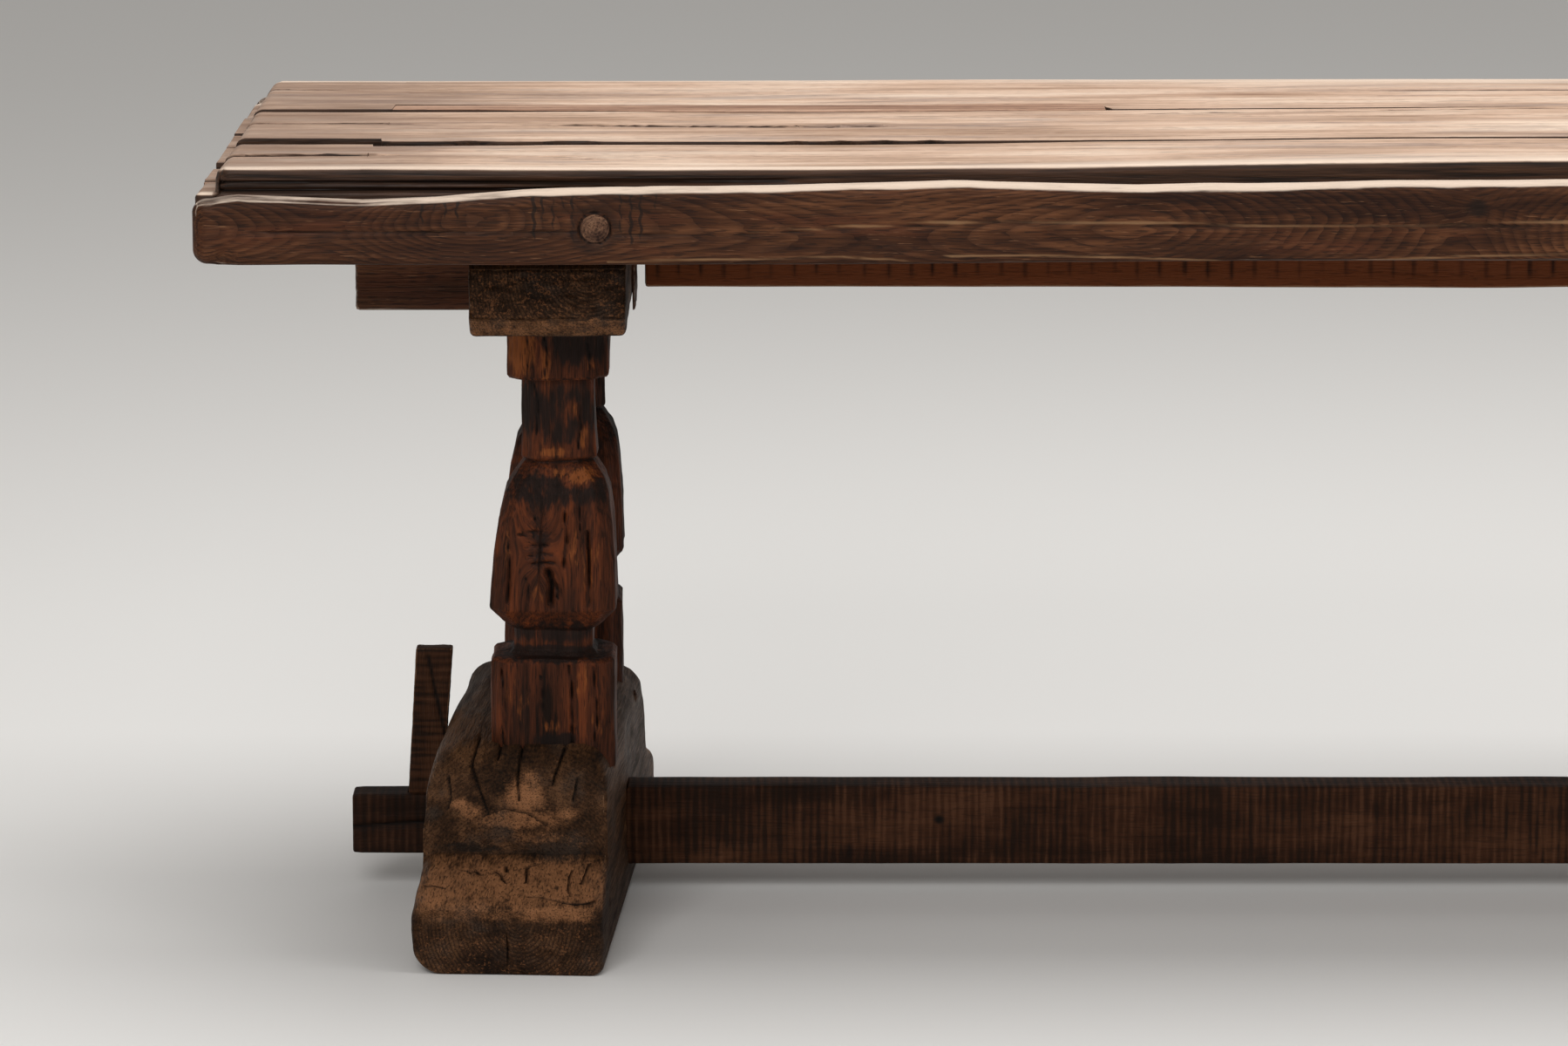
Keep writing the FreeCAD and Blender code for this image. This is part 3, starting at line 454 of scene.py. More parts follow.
class Wood:
    """Old oak laid along painted grain directions and built up layer by layer."""

    def __init__(self, name, tones, ring, coarse, fine):
        """Start from three tones, the width and share of the rings, and two fibre sizes and shares."""
        self.material = bpy.data.materials.new(name)
        self.material.use_nodes = True
        self.tree = self.material.node_tree
        self.tree.nodes.clear()
        self.place = put(self.tree, "Attribute", attribute_name="grain").outputs["Vector"]
        swing = self.fibres((0.6, 0.11), 2.0, "Color")
        swing = {0: swing, 1: (0.5, 0.5, 0.5)}
        swing = put(self.tree, "VectorMath", swing, operation="SUBTRACT").outputs[0]
        swing = {0: swing, 1: RING_DRIFT, 2: self.place}
        self.place = put(self.tree, "VectorMath", swing, operation="MULTIPLY_ADD").outputs[0]
        self.rings = self.tree_rings(ring[0])
        self.fine = self.fibres(fine[:2], 3.0)
        coarse_fibres = self.fibres(coarse[:2], 4.0)
        # Pores are drawn wider than real ones, or they would not show
        self.pores = self.layered(((self.fibres((0.014, 0.0014), 0.0), 1.0), (self.rings, -0.2)))
        cloud = self.fibres((0.4, 0.06), 4.0)
        shares = ((cloud, 1.0), (coarse_fibres, coarse[2]), (self.fine, fine[2]), (self.rings, ring[1]))
        self.tone = self.layered(shares)
        dark, mid, light = tones
        stops = ((0.27, dark), (0.5, mid), (0.73, light))
        self.colour = put(self.tree, "ValToRGB", {0: self.tone}, stops=stops).outputs["Color"]
        self.height = self.layered(((self.fine, 1.0), (coarse_fibres, 0.6), (self.pores, -0.5)))

    def fibres(self, size, detail, socket="Fac"):
        """Give fibres as long and as wide as a size in metres."""
        scale = (1 / size[0], 1 / size[1], 1 / size[1])
        place = put(self.tree, "VectorMath", {0: self.place, 1: scale}, operation="MULTIPLY").outputs[0]
        inputs = {"Vector": place, "Scale": 1.0, "Detail": detail, "Roughness": 0.6}
        return put(self.tree, "TexNoise", inputs).outputs[socket]

    def tree_rings(self, width):
        """Give the rings about the heart of the tree, a width apart, moved where arches are painted."""
        arch = put(self.tree, "Attribute", attribute_name="arch").outputs["Vector"]
        place = put(self.tree, "VectorMath", {0: self.place, 1: arch}, operation="ADD").outputs[0]
        place = put(self.tree, "VectorMath", {0: place, 1: RING_STRETCH}, operation="MULTIPLY").outputs[0]
        inputs = {"Vector": place, "Scale": WAVE_UNIT / width}
        inputs.update({"Distortion": 2.4, "Detail": 2.0, "Detail Scale": 0.5})
        return put(self.tree, "TexWave", inputs, wave_type="RINGS", wave_profile="SAW").outputs["Fac"]

    def layered(self, parts):
        """Add patterns together, each by its share, so that the sum stays in balance about one half."""
        total = 0.5 - 0.5 * sum(share for pattern, share in parts)
        for pattern, share in parts:
            total = {0: pattern, 1: share, 2: total}
            total = put(self.tree, "Math", total, operation="MULTIPLY_ADD").outputs[0]
        return total

    def painted(self, name, ragged=0.0, size=(0.03, 0.006)):
        """Read a mark painted on the piece, its edge broken up by fibres where it is ragged."""
        mark = put(self.tree, "Attribute", attribute_name=name).outputs["Fac"]
        return self.layered(((mark, 1.0), (self.fibres(size, 4.0), ragged))) if ragged else mark

    def stain(self, pattern, start, end, colour, share=1.0):
        """Lay a colour over the wood as a pattern goes from start to end."""
        mask = {"Value": pattern, "From Min": start, "From Max": end, "To Max": share}
        mask = put(self.tree, "MapRange", mask, interpolation_type="SMOOTHSTEP").outputs["Result"]
        layers = {0: mask, MIX_A: self.colour, MIX_B: colour}
        self.colour = put(self.tree, "Mix", layers, data_type="RGBA").outputs[MIX_OUT]

    def darken_pores(self, colour, share):
        """Lay a colour into the pores."""
        self.stain(self.pores, 0.6, 0.72, colour, share)

    def darken_cracks(self, colour):
        """Lay a colour into the painted cracks, and into the painted shade kept in the same layer."""
        self.stain(self.painted("crack"), 0.0, 1.0, colour)

    def finish(self, roughness, relief, gloss=0.2):
        """Close the wood with its shine and its relief, and hand back the material."""
        shine = {"Value": self.tone, "From Min": 0.3, "From Max": 0.7}
        shine.update({"To Min": roughness[1], "To Max": roughness[0]})
        shine = put(self.tree, "MapRange", shine).outputs["Result"]
        bump = put(self.tree, "Bump", {"Strength": 1.0, "Distance": relief, "Height": self.height})
        surface = {"Base Color": self.colour, "Roughness": shine, "IOR": 1.5}
        surface["Normal"] = bump.outputs["Normal"]
        # Dry open fibres give back much less gloss than a polished board
        surface["Specular IOR Level"] = gloss
        shader = put(self.tree, "BsdfPrincipled", surface)
        put(self.tree, "OutputMaterial", {"Surface": shader.outputs["BSDF"]})
        return self.material


def dark_sides(wood, colours):
    """Lay grime and painted shade over faces of a top piece that don't look up, are low or cracked."""
    stops = ((0.35, colours.grime), (0.65, TONES["grime_light"]))
    grime = put(wood.tree, "ValToRGB", {0: wood.fine}, stops=stops).outputs["Color"]
    wood.stain(wood.painted("bleach"), 1.0, 0.0, grime)
    wood.darken_cracks(TONES["top_crack"])


def bleached_oak(colours):
    """Oak of the table top: bleached, rubbed and painted light above, grey stains, grime and painted shade
    below.
    """
    tones = (colours.top_dark, colours.top_mid, colours.top_light)
    wood = Wood("bleached_oak", tones, (0.009, 0.05), (0.4, 0.026, 0.42), (0.12, 0.0035, 0.36))
    wood.stain(wood.fibres((0.25, 0.04), 5.0), 0.5, 0.7, TONES["top_grey"], 0.55)
    wood.stain(wood.fibres((0.5, 0.03), 5.0), 0.53, 0.7, TONES["top_tan"], 0.45)
    wood.stain(wood.fibres((0.1, 0.022), 5.0), 0.62, 0.76, TONES["top_blotch"], 0.5)
    wood.stain(wood.fibres((0.22, 0.003), 3.0), 0.63, 0.72, TONES["top_fibre"], 0.6)
    wood.stain(wood.fibres((0.04, 0.005), 2.0), 0.66, 0.78, colours.top_light, 0.5)
    wood.darken_pores(TONES["top_pore"], 0.4)
    # Painted shade towards the ends of the planks
    wood.stain(wood.painted("soot", 1.1, (0.14, 0.03)), 0.4, 0.95, TONES["top_soot"], 0.65)
    # Wear, and painted highlights along the front edges of the planks
    wood.stain(wood.painted("wear", 0.9, (0.2, 0.02)), 0.5, 1.15, colours.worn_edge, 0.85)
    dark_sides(wood, colours)
    return wood.finish((0.4, 0.62), 0.0006)


def oiled_oak(colours):
    """Oak of the edge rails: brown and oiled, with short pale fibres, ring arches, rubbed edges and painted
    highlights.
    """
    tones = (colours.rail_dark, colours.rail_mid, colours.rail_light)
    wood = Wood("oiled_oak", tones, (0.0032, 0.2), (0.2, 0.009, 0.5), (0.05, 0.0018, 0.5))
    patchy = wood.layered(((wood.rings, 1.0), (wood.fibres((0.12, 0.02), 3.0), 1.6)))
    wood.stain(patchy, 0.6, 1.1, colours.rail_dark, 0.6)
    wood.stain(wood.fibres((0.25, 0.03), 4.0), 0.52, 0.7, TONES["rail_red"], 0.5)
    wood.stain(wood.fibres((0.03, 0.0013), 3.0), 0.64, 0.72, TONES["rail_fibre"], 0.5)
    wood.darken_pores(TONES["rail_pore"], 0.6)
    wood.stain(wood.painted("soot", 0.5), 0.35, 0.8, TONES["rail_soot"], 0.85)
    wood.stain(wood.painted("rub", 0.5), 0.25, 0.85, TONES["rail_line"], 0.68)
    # Wear, and painted highlight on the rims where they look up
    wood.stain(wood.painted("wear", 0.8, (0.05, 0.008)), 0.5, 1.1, colours.worn_edge, 0.9)
    wood.darken_cracks(TONES["rail_crack"])
    return wood.finish((0.45, 0.65), 0.0006, 0.15)


def red_oak(colours):
    """Oak of the slip: a little redder and less bleached than the planks."""
    tones = (TONES["slip_dark"], colours.slip, TONES["slip_light"])
    wood = Wood("red_oak", tones, (0.008, 0.08), (0.3, 0.012, 0.6), (0.07, 0.0024, 0.6))
    wood.darken_pores(TONES["slip_pore"], 0.5)
    dark_sides(wood, colours)
    return wood.finish((0.45, 0.65), 0.0006)


def sawn_oak(colours):
    """Oak of the beams and wedges: dark and rough, with the bands that the saw left across the grain."""
    tones = (colours.beam_dark, colours.beam_mid, colours.beam_light)
    wood = Wood("sawn_oak", tones, (0.008, 0.03), (0.3, 0.014, 0.08), (0.05, 0.0025, 0.08))
    wood.stain(wood.painted("rub", 1.0, (0.2, 0.02)), 0.35, 1.0, colours.beam_red, 0.85)
    saw = wood.painted("saw")
    # Even strokes of the saw, and fibres wider than they are long, give the bands across the grain
    place = {0: wood.place, 1: STROKE_STRETCH}
    place = put(wood.tree, "VectorMath", place, operation="MULTIPLY").outputs[0]
    wave = {"Vector": place, "Scale": WAVE_UNIT / STROKE_PITCH, "Distortion": 4.0, "Detail": 2.0}
    strokes = put(wood.tree, "TexWave", wave, wave_type="BANDS", bands_direction="X").outputs["Fac"]
    bands = wood.fibres((0.0065, 0.05), 2.0)
    patches = wood.fibres((0.12, 0.05), 3.0)
    sunk = wood.layered(((saw, 0.5), (strokes, 0.3), (bands, 0.9), (patches, 1.1)))
    wood.stain(sunk, 0.68, 1.0, colours.beam_dark, 0.8)
    raised = wood.layered(((saw, 0.5), (strokes, -0.3), (bands, -0.9), (patches, -1.1)))
    wood.stain(raised, 0.8, 1.15, TONES["saw_ridge"], 0.45)
    wood.darken_pores(colours.beam_dark, 0.3)
    wood.stain(wood.painted("wear", 1.0), 0.78, 1.1, TONES["beam_edge"])
    # Cracks, saw marks, and painted shade over the tenons
    wood.darken_cracks(TONES["beam_crack"])
    wood.height = wood.layered(((wood.height, 1.0), (sunk, -0.5)))
    return wood.finish((0.55, 0.78), 0.0008, 0.1)


def stained_oak(colours):
    """Oak of the posts: dark red-brown stain with black streaks, orange where it is rubbed off, soot and
    painted shade.
    """
    tones = (colours.post_dark, colours.post_mid, colours.post_light)
    wood = Wood("stained_oak", tones, (0.0035, 0.1), (0.14, 0.012, 0.6), (0.05, 0.0022, 0.5))
    wood.stain(wood.rings, 0.75, 1.0, colours.post_dark, 0.4)
    wood.stain(wood.fibres((0.14, 0.02), 5.0), 0.5, 0.68, TONES["post_streak"], 0.65)
    wood.stain(wood.painted("rub", 1.5, (0.02, 0.004)), 0.45, 0.95, colours.rubbed, 0.8)
    # Soot, and painted shade in the hollows of the plinths and waists
    wood.stain(wood.painted("soot", 1.3, (0.03, 0.006)), 0.4, 0.75, TONES["post_soot"], 0.9)
    wood.darken_pores(colours.post_dark, 0.6)
    wood.stain(wood.painted("wear", 1.0), 0.85, 1.2, TONES["post_edge"], 0.8)
    wood.darken_cracks(TONES["post_crack"])
    return wood.finish((0.5, 0.75), 0.0009, 0.12)


def weathered_oak(colours):
    """Oak of the feet and bearers: grey-brown, rough and split, tan where feet have rubbed it, painted
    shade in creases.
    """
    tones = (colours.foot_dark, colours.foot_mid, colours.foot_light)
    wood = Wood("weathered_oak", tones, (0.0036, 0.05), (0.12, 0.014, 0.6), (0.045, 0.003, 0.6))
    wood.stain(wood.fibres((0.14, 0.04), 5.0), 0.5, 0.68, TONES["foot_grey"], 0.6)
    broad, thin = wood.fibres((0.03, 0.01), 4.0), wood.fibres((0.03, 0.0018), 2.0)
    rub = wood.layered(((wood.painted("rub"), 1.0), (broad, 1.0), (thin, 0.8)))
    wood.stain(rub, 0.3, 1.0, colours.foot_rub, 0.75)
    # Soot, and painted shade in the creases of the feet
    wood.stain(wood.painted("soot", 1.0), 0.45, 0.8, TONES["foot_soot"], 0.9)
    cut = wood.painted("cut")
    wood.stain(wood.layered(((cut, 1.0), (wood.rings, 0.9))), 0.8, 1.3, colours.foot_dark, 0.75)
    fine, coarse = wood.fibres((0.02, 0.0024), 1.0), wood.fibres((0.02, 0.009), 2.0)
    specks = wood.layered(((cut, 1.0), (fine, 2.0), (coarse, 1.2)))
    wood.stain(specks, 1.1, 1.5, TONES["foot_speck"], 0.7)
    wood.darken_pores(colours.foot_dark, 0.65)
    wood.stain(wood.painted("wear", 1.0), 0.8, 1.1, TONES["foot_edge"], 0.8)
    # Cracks, and painted shade along the creases of the feet
    wood.darken_cracks(TONES["foot_crack"])
    return wood.finish((0.55, 0.8), 0.0013, 0.1)


def peg_oak(colours):
    """Oak of the pegs: cut ends a little lighter than the rails."""
    tones = (colours.rail_dark, TONES["peg_mid"], TONES["peg_light"])
    wood = Wood("peg_oak", tones, (0.003, 0.12), (0.3, 0.012, 0.7), (0.07, 0.0024, 0.6))
    wood.darken_pores(colours.rail_dark, 0.7)
    wood.darken_cracks(colours.grime)
    return wood.finish((0.5, 0.7), 0.0008)


WOODS = {}


def make_woods(colours):
    """Make every wood once."""
    for maker in (bleached_oak, oiled_oak, red_oak, sawn_oak, stained_oak, weathered_oak, peg_oak):
        WOODS[maker.__name__] = maker(colours)


# Planks of the top

# Unevenness of the planks: long swells, short ridges, and how ragged their joints are and over what run
FULL_SWELL = 0.0018
WASHBOARD = 0.00015
RAGGED = 0.0014
RAGGED_RUN = 0.035
# The front plank has cupped: its outer edge has risen, stands back from the rail, and the rise dies away
FRONT_CUP = 0.0062
FRONT_SET_BACK = 0.008
CUP_REACH = 0.07
# Splits fade out over a taper unless they run out at an end, and the wood near them lifts over a run
SPLIT_TAPER = 0.03
SPLIT_RUN_OUT = 1.24
SPLIT_LIFT_RUN = 0.03
# Long shakes in the front face of the front plank, from its left end: level, length
FACE_SHAKES = ((0.7705, 0.56), (0.7632, 0.4))
# Splits in the upper faces: path by places across and along, half width, depth, and lift behind the split
SPLITS = {
    "front_plank": (
        (((-0.243, -1.25), (-0.242, -1.2), (-0.238, -1.14), (-0.237, -1.065)), 0.0028, 0.012, 0.0014),
        (((-0.243, -0.934), (-0.25, -0.9), (-0.256, -0.877)), 0.0022, 0.003, 0.0005),
        (((-0.262, -0.92), (-0.266, -0.86)), 0.002, 0.002, 0.0003),
        (((-0.2, 0.3), (-0.206, 0.62)), 0.002, 0.004, 0.0007),
        (((-0.27, 1.25), (-0.265, 1.08)), 0.0026, 0.01, 0.0011),
    ),
    "middle_plank": (
        (((-0.006, -0.93), (-0.012, -0.82), (-0.021, -0.674), (-0.02, -0.58)), 0.0024, 0.006, 0.0011),
        (((0.008, -1.25), (0.006, -1.12), (0.003, -1.05)), 0.002, 0.003, 0.0005),
        (((0.066, -0.353), (0.075, -0.13), (0.086, 0.094)), 0.002, 0.003, 0.0004),
        (((-0.06, 0.25), (-0.052, 0.7)), 0.002, 0.004, 0.0008),
        (((0.03, 1.25), (0.034, 1.1)), 0.0026, 0.009, 0.001),
    ),
    "back_plank": (
        (((0.28, -1.24), (0.276, -1.13)), 0.002, 0.003, 0.0004),
        (((0.24, -0.1), (0.232, 0.35)), 0.002, 0.003, 0.0006),
        (((0.3, 1.25), (0.294, 1.02)), 0.0026, 0.009, 0.001),
    ),
}


def node_box(node):
    """Give the low and high corners of a solid as arrays."""
    low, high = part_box(node)
    return np.array(low), np.array(high)


def top_bow(x, y):
    """Give how far the old top has bowed up, most at the front and past the left trestle."""
    bow = smooth(x, -0.85, 0.25) * (1 - smooth(x, 0.5, 1.2))
    return bow * np.interp(y, (-0.36, -0.1, 0.36), (0.0095, 0.007, 0.0026))


def field_height(inside, lip, top, radius):
    """Give the upper face at a distance inside the raised field: a rounded edge above a lower lip."""
    part = np.clip(inside, 0, radius)
    rounded = top - radius + np.sqrt(np.maximum(radius ** 2 - (radius - part) ** 2, 0))
    return np.where(inside > -1e-5, rounded, lip)


def round_corner(inside, edge, bend):
    """Round a corner in plan: give new distances in from its end and from its side."""
    away = np.stack([bend - np.clip(inside, 0, bend), bend - np.clip(edge, 0, bend)], axis=1)
    size = np.linalg.norm(away, axis=1)
    share = np.divide(away.max(axis=1), size, out=np.ones_like(size), where=size > 0)
    return bend - away[:, 0] * share, bend - away[:, 1] * share


def close_lines(top, node, low, high):
    """Give where the grid of a plank is closer: at its lips, its edges, its jog and its splits."""
    field_x = high[0] - top.lip_length
    lip_z = high[2] - top.lip_drop
    jog_x = low[0] + top.jog_start
    ends = [(jog_x, 0.004, 0.001), (jog_x + top.jog_gap, 0.002, 0.001)]
    for end in (-field_x, field_x):
        ends.append((end, 0.024, 0.0015))
        ends.append((end + math.copysign(0.0003, end), 0.0003, 0.0006))
    rims = [(low[1], 0.022, 0.002), (high[1], 0.012, 0.002)]
    for split in SPLITS[node]:
        across = [place[0] for place in split[0]]
        rims.append(((min(across) + max(across)) / 2, (max(across) - min(across)) / 2 + 0.005, 0.0012))
    return ends, rims, [(lip_z, 0.003, 0.001), (high[2], 0.026, 0.002)]


def open_splits(node, points, above):
    """Open the splits of an upper face, lift the wood behind them, and give how far in each point lies."""
    crack = np.zeros(len(points))
    lift = np.zeros(len(points))
    for path, width, depth, stand in SPLITS[node]:
        ys, xs = np.array(path).T
        order = np.argsort(xs)
        line = np.interp(points[:, 0], xs[order], ys[order])
        ahead = line - points[:, 1] + 0.0012 * along_x(points[:, 0], 0.03, 5)
        first, last = xs.min(), xs.max()
        ends = np.ones(len(points))
        if first > -SPLIT_RUN_OUT:
            ends *= smooth(points[:, 0], first - 0.001, first + SPLIT_TAPER)
        if last < SPLIT_RUN_OUT:
            ends *= 1 - smooth(points[:, 0], last - SPLIT_TAPER, last + 0.001)
        inside = np.clip(1.4 - 1.4 * np.abs(ahead) / width, 0, 1) * ends * above
        inside *= (points[:, 0] > first - 0.002) & (points[:, 0] < last + 0.002)
        raised, sunk = np.exp(ahead / SPLIT_LIFT_RUN), -0.6 * np.exp(-ahead / SPLIT_LIFT_RUN)
        lift += ends * stand * np.where(ahead < 0, raised, sunk)
        points[:, 2] -= depth * inside
        crack = np.maximum(crack, inside)
    points[:, 2] += lift * above
    return crack


def plank_wear(flat, x, inside, low, high, corner_side):
    """Give where a plank is rubbed: at its edges, near an outer edge with painted highlight, and at its
    field ends.
    """
    wear = edge_nearness(flat, low, high, 0.007)
    outer_gap = flat[:, 1] - low[1] if corner_side < 0 else high[1] - flat[:, 1]
    wear *= np.where(outer_gap < 0.03, 1.0, 0.55) if corner_side else 0.55
    if corner_side:
        # Painted highlights along the outer edge: a broad band, brighter to the right, and a narrow one at
        # the edge
        wear = np.maximum(wear, 1.15 * np.exp(-outer_gap / 0.12) * smooth(x, -1.05, -0.2))
        wear = np.maximum(wear, 1.1 * np.exp(-(outer_gap / 0.03) ** 2))
    return np.maximum(wear, 0.85 * np.exp(-np.abs(inside - 0.003) / 0.006))


def build_plank(top, node, seed, front_edge, back_edge, corner_side, pith, stand):
    """Build a plank: ragged edges, a raised field between two end lips, bowed, split and worn all over."""
    low, high = node_box(node)
    field_x = high[0] - top.lip_length
    lip_z = high[2] - top.lip_drop
    piece, flat = grid_box("worn_" + node, "plank", low, high, close_lines(top, node, low, high))
    outer = (flat[:, 1] - (low[1] + high[1]) / 2) * corner_side > 0
    radius = np.where(outer, top.plank_round, top.joint_round) * (1 + 0.3 * along_x(flat[:, 0], 0.12, seed))
    x, y, z = soften(flat, low, high, radius).T
    front, back = front_edge(x, flat[:, 2]), back_edge(x, flat[:, 2])
    y = front + (y - low[1]) / (high[1] - low[1]) * (back - front)
    inside = field_x - np.abs(x)
    roof = field_height(inside, lip_z, high[2], top.field_round)
    z = low[2] + (z - low[2]) * (roof - low[2]) / (high[2] - low[2])
    if corner_side:
        edge = y - front if corner_side < 0 else back - y
        moved = (flat[:, 2] > lip_z) & (inside > -2 * CLOSEST)
        moved &= (inside < top.field_corner) & (edge < top.field_corner)
        new_inside, new_edge = round_corner(inside, edge, top.field_corner)
        x = np.where(moved, np.sign(x) * (field_x - new_inside), x)
        y = np.where(moved, front + new_edge if corner_side < 0 else back - new_edge, y)
    points = np.stack([x, y, z], axis=1)
    swell = FULL_SWELL * rough(points, (0.5, 0.12, 1.0), seed)
    swell += WASHBOARD * rough(points, (0.16, 0.012, 1.0), seed + 3)
    points[:, 2] += smooth(z, low[2] + 0.02, lip_z) * (swell + top_bow(x, y) + stand(x, y))
    above = flat[:, 2] > high[2] - CLOSEST
    crack = open_splits(node, points, above)
    wear = plank_wear(flat, x, inside, low, high, corner_side)
    wall = np.exp(-((inside / 0.0016) ** 2))
    gaps = (high[1] - flat[:, 1], flat[:, 1] - low[1])
    joints = [gap for gap, side in zip(gaps, (1, -1)) if side != corner_side]
    jointed = np.min(joints, axis=0) < CLOSEST
    if corner_side < 0:
        crack = np.maximum(crack, face_shakes(points, flat, low))
    write_points(piece, points)
    up = facing(piece)[:, 2]
    # Painted light: the top face is bleached and lit; low faces, joints, field end walls and splits keep
    # painted shade
    shown = np.where(outer, top.plank_round, 0.003)
    shown = smooth(flat[:, 2], high[2] - 1.2 * shown, high[2] - 0.3 * shown) * ~jointed
    paint(
        piece,
        grain=grain_along(points, 0, pith, seed),
        wear=wear * smooth(up, 0.45, 0.8) * shown * (1 - wall),
        bleach=smooth(up, 0.45, 0.85) * (1 - crack) * shown * (1 - 0.8 * wall),
        crack=crack,
        # Painted shade darkening the planks towards both ends
        soot=0.85 * smooth(np.abs(x), 0.7, 1.2),
    )
    dress(piece, [node], "top", WOODS["bleached_oak"])


def face_shakes(points, flat, low):
    """Open the long shakes in the front face of the front plank and give how far in each point lies."""
    front = flat[:, 1] < low[1] + CLOSEST
    crack = np.zeros(len(points))
    for level, length in FACE_SHAKES:
        path = [(level, low[0]), (level + 0.001, low[0] + length / 2), (level + 0.002, low[0] + length)]
        shake = groove(points[:, 2], points[:, 0], path, 0.0024) * front
        points[:, 1] += 0.004 * shake
        crack = np.maximum(crack, shake)
    return crack


def ragged(x, seed, run=RAGGED_RUN):
    """Give how ragged the edge of a plank is along a joint."""
    return RAGGED * along_x(x, run, seed)


class REFECTORY_OT_planks(bpy.types.Operator):
    """Build the three planks of the top, with their worn joints, lips and splits."""

    bl_idname = "refectory.planks"
    bl_label = "Planks"

    def execute(self, context):
        top = context.scene.refectory_top
        self.left = node_box("front_plank")[0][0]
        self.lip_z = node_box("front_plank")[1][2] - top.lip_drop
        self.front_pair(top)
        self.back_plank(top)
        return {"FINISHED"}

    def worn(self, top, x, z):
        """Give how far the worn front joint opens on each side."""
        share = np.clip((self.left + top.open_end - x) / (top.open_end - top.jog_start), 0, 1)
        return np.where(z > self.lip_z, share * (top.open_gap - top.front_gap) / 2, 0)

    def front_pair(self, top):
        """Build the front and middle planks on either side of the worn joint."""
        jog_x = self.left + top.jog_start
        front_y, tab_y = node_box("front_plank")[0][1], node_box("front_plank")[1][1]
        far_y, back_y = node_box("middle_plank")[0][1], node_box("middle_plank")[1][1]
        near_y = far_y - top.front_gap

        def front_back(x, z):
            edge = near_y - self.worn(top, x, z) + ragged(x, 2)
            return np.where(x < jog_x, tab_y + ragged(x, 3), edge)

        def middle_front(x, z):
            torn = tab_y + top.end_gap + np.where(z > self.lip_z, top.sliver_width, 0)
            worn = self.worn(top, x, z)
            bits = np.where(worn > 0.002, 0.009 * smooth(along_x(x, 0.016, 9), 0.1, 0.35), 0)
            edge = far_y + worn + bits + ragged(x, 5)
            return np.where(x < jog_x + top.jog_gap, torn + ragged(x, 4, 0.03), edge)

        def middle_back(x, z):
            return np.full_like(z, back_y)

        def middle_stand(x, y):
            lift = 0.0004 * (1 - smooth(x, -0.75, -0.2)) + 0.0016
            return lift * np.exp(-(y - far_y) / 0.05)

        def front_front(x, z):
            return front_y + FRONT_SET_BACK * smooth(z, self.lip_z - 0.002, self.lip_z + 0.004)

        def front_stand(x, y):
            return FRONT_CUP * np.exp(-(y - front_y) / CUP_REACH)

        build_plank(top, "front_plank", 1, front_front, front_back, -1, (0, -0.26, 0.6), front_stand)
        build_plank(top, "middle_plank", 2, middle_front, middle_back, 0, (0, -0.01, 0.58), middle_stand)

    @staticmethod
    def back_plank(top):
        """Build the back plank, cut back for the slip."""
        slip_low, slip_high = node_box("joint_slip")
        low, high = node_box("back_plank")

        def front_edge(x, z):
            cut = (x > slip_low[0]) & (x < slip_high[0]) & (z > slip_low[2])
            return np.where(cut, slip_high[1] + 0.001, low[1] + ragged(x, 6))

        def back_edge(x, z):
            return np.full_like(z, high[1])

        def stand(x, y):
            return 0.0009 * (1 - smooth(x, -0.45, -0.1)) * np.exp(-(y - low[1]) / 0.06)

        build_plank(top, "back_plank", 3, front_edge, back_edge, 1, (0, 0.25, 0.6), stand)


# How far the slip stands above the planks at its front, widens forwards and narrows again at its right end
SLIP_PROUD = 0.0022
SLIP_WIDENS = 0.018
SLIP_NARROWS = 0.012


class REFECTORY_OT_slip(bpy.types.Operator):
    """Build the slip let into the back joint, a little proud of the planks at its front edge."""

    bl_idname = "refectory.slip"
    bl_label = "Joint slip"

    def execute(self, context):
        low, high = node_box("joint_slip")
        dense = ([(low[0], 0.012, 0.002), (high[0], 0.012, 0.002)], (), [(high[2], 0.006, 0.001)])
        piece, flat = grid_box("worn_joint_slip", "slip", low, high, dense)
        points = soften(flat, low, high, 0.0016 + 0.0006 * along_x(flat[:, 0], 0.06, 8))
        x, y, z = points.T
        rise = smooth(z, low[2], high[2])
        across = (y - low[1]) / (high[1] - low[1])
        proud = SLIP_PROUD * (1 - 0.55 * across) * (1 - 0.6 * smooth(x, high[0] - 0.25, high[0]))
        points[:, 2] += rise * (proud + top_bow(x, y) + 0.0004 * rough(points, (0.1, 0.01, 1.0), 9))
        start = low[1] - SLIP_WIDENS * (across < 0.5) * smooth(x, low[0] + 0.02, low[0] + 0.4)
        start = start + SLIP_NARROWS * (across < 0.5) * smooth(x, high[0] - 0.3, high[0])
        points[:, 1] += rise * (1 - across) * (start - low[1]) * (flat[:, 2] > low[2] + 0.02)
        points[:, 1] += 0.0012 * along_x(x, 0.05, 8) * (1 - across)
        write_points(piece, points)
        up = facing(piece)[:, 2]
        back = smooth(across, 0.93, 0.99) * smooth(up, 0.2, 0.6)
        # Painted light on the upper face of the slip, painted shade below it
        paint(
            piece,
            grain=grain_along(points, 0, (0, 0.16, 0.7), 4),
            bleach=smooth(up, 0.4, 0.8) * smooth(flat[:, 2], high[2] - 0.003, high[2] - 0.001),
            crack=0.8 * back,
        )
        dress(piece, ["joint_slip"], "top", WOODS["red_oak"])
        return {"FINISHED"}


# Edge rails and cross ties

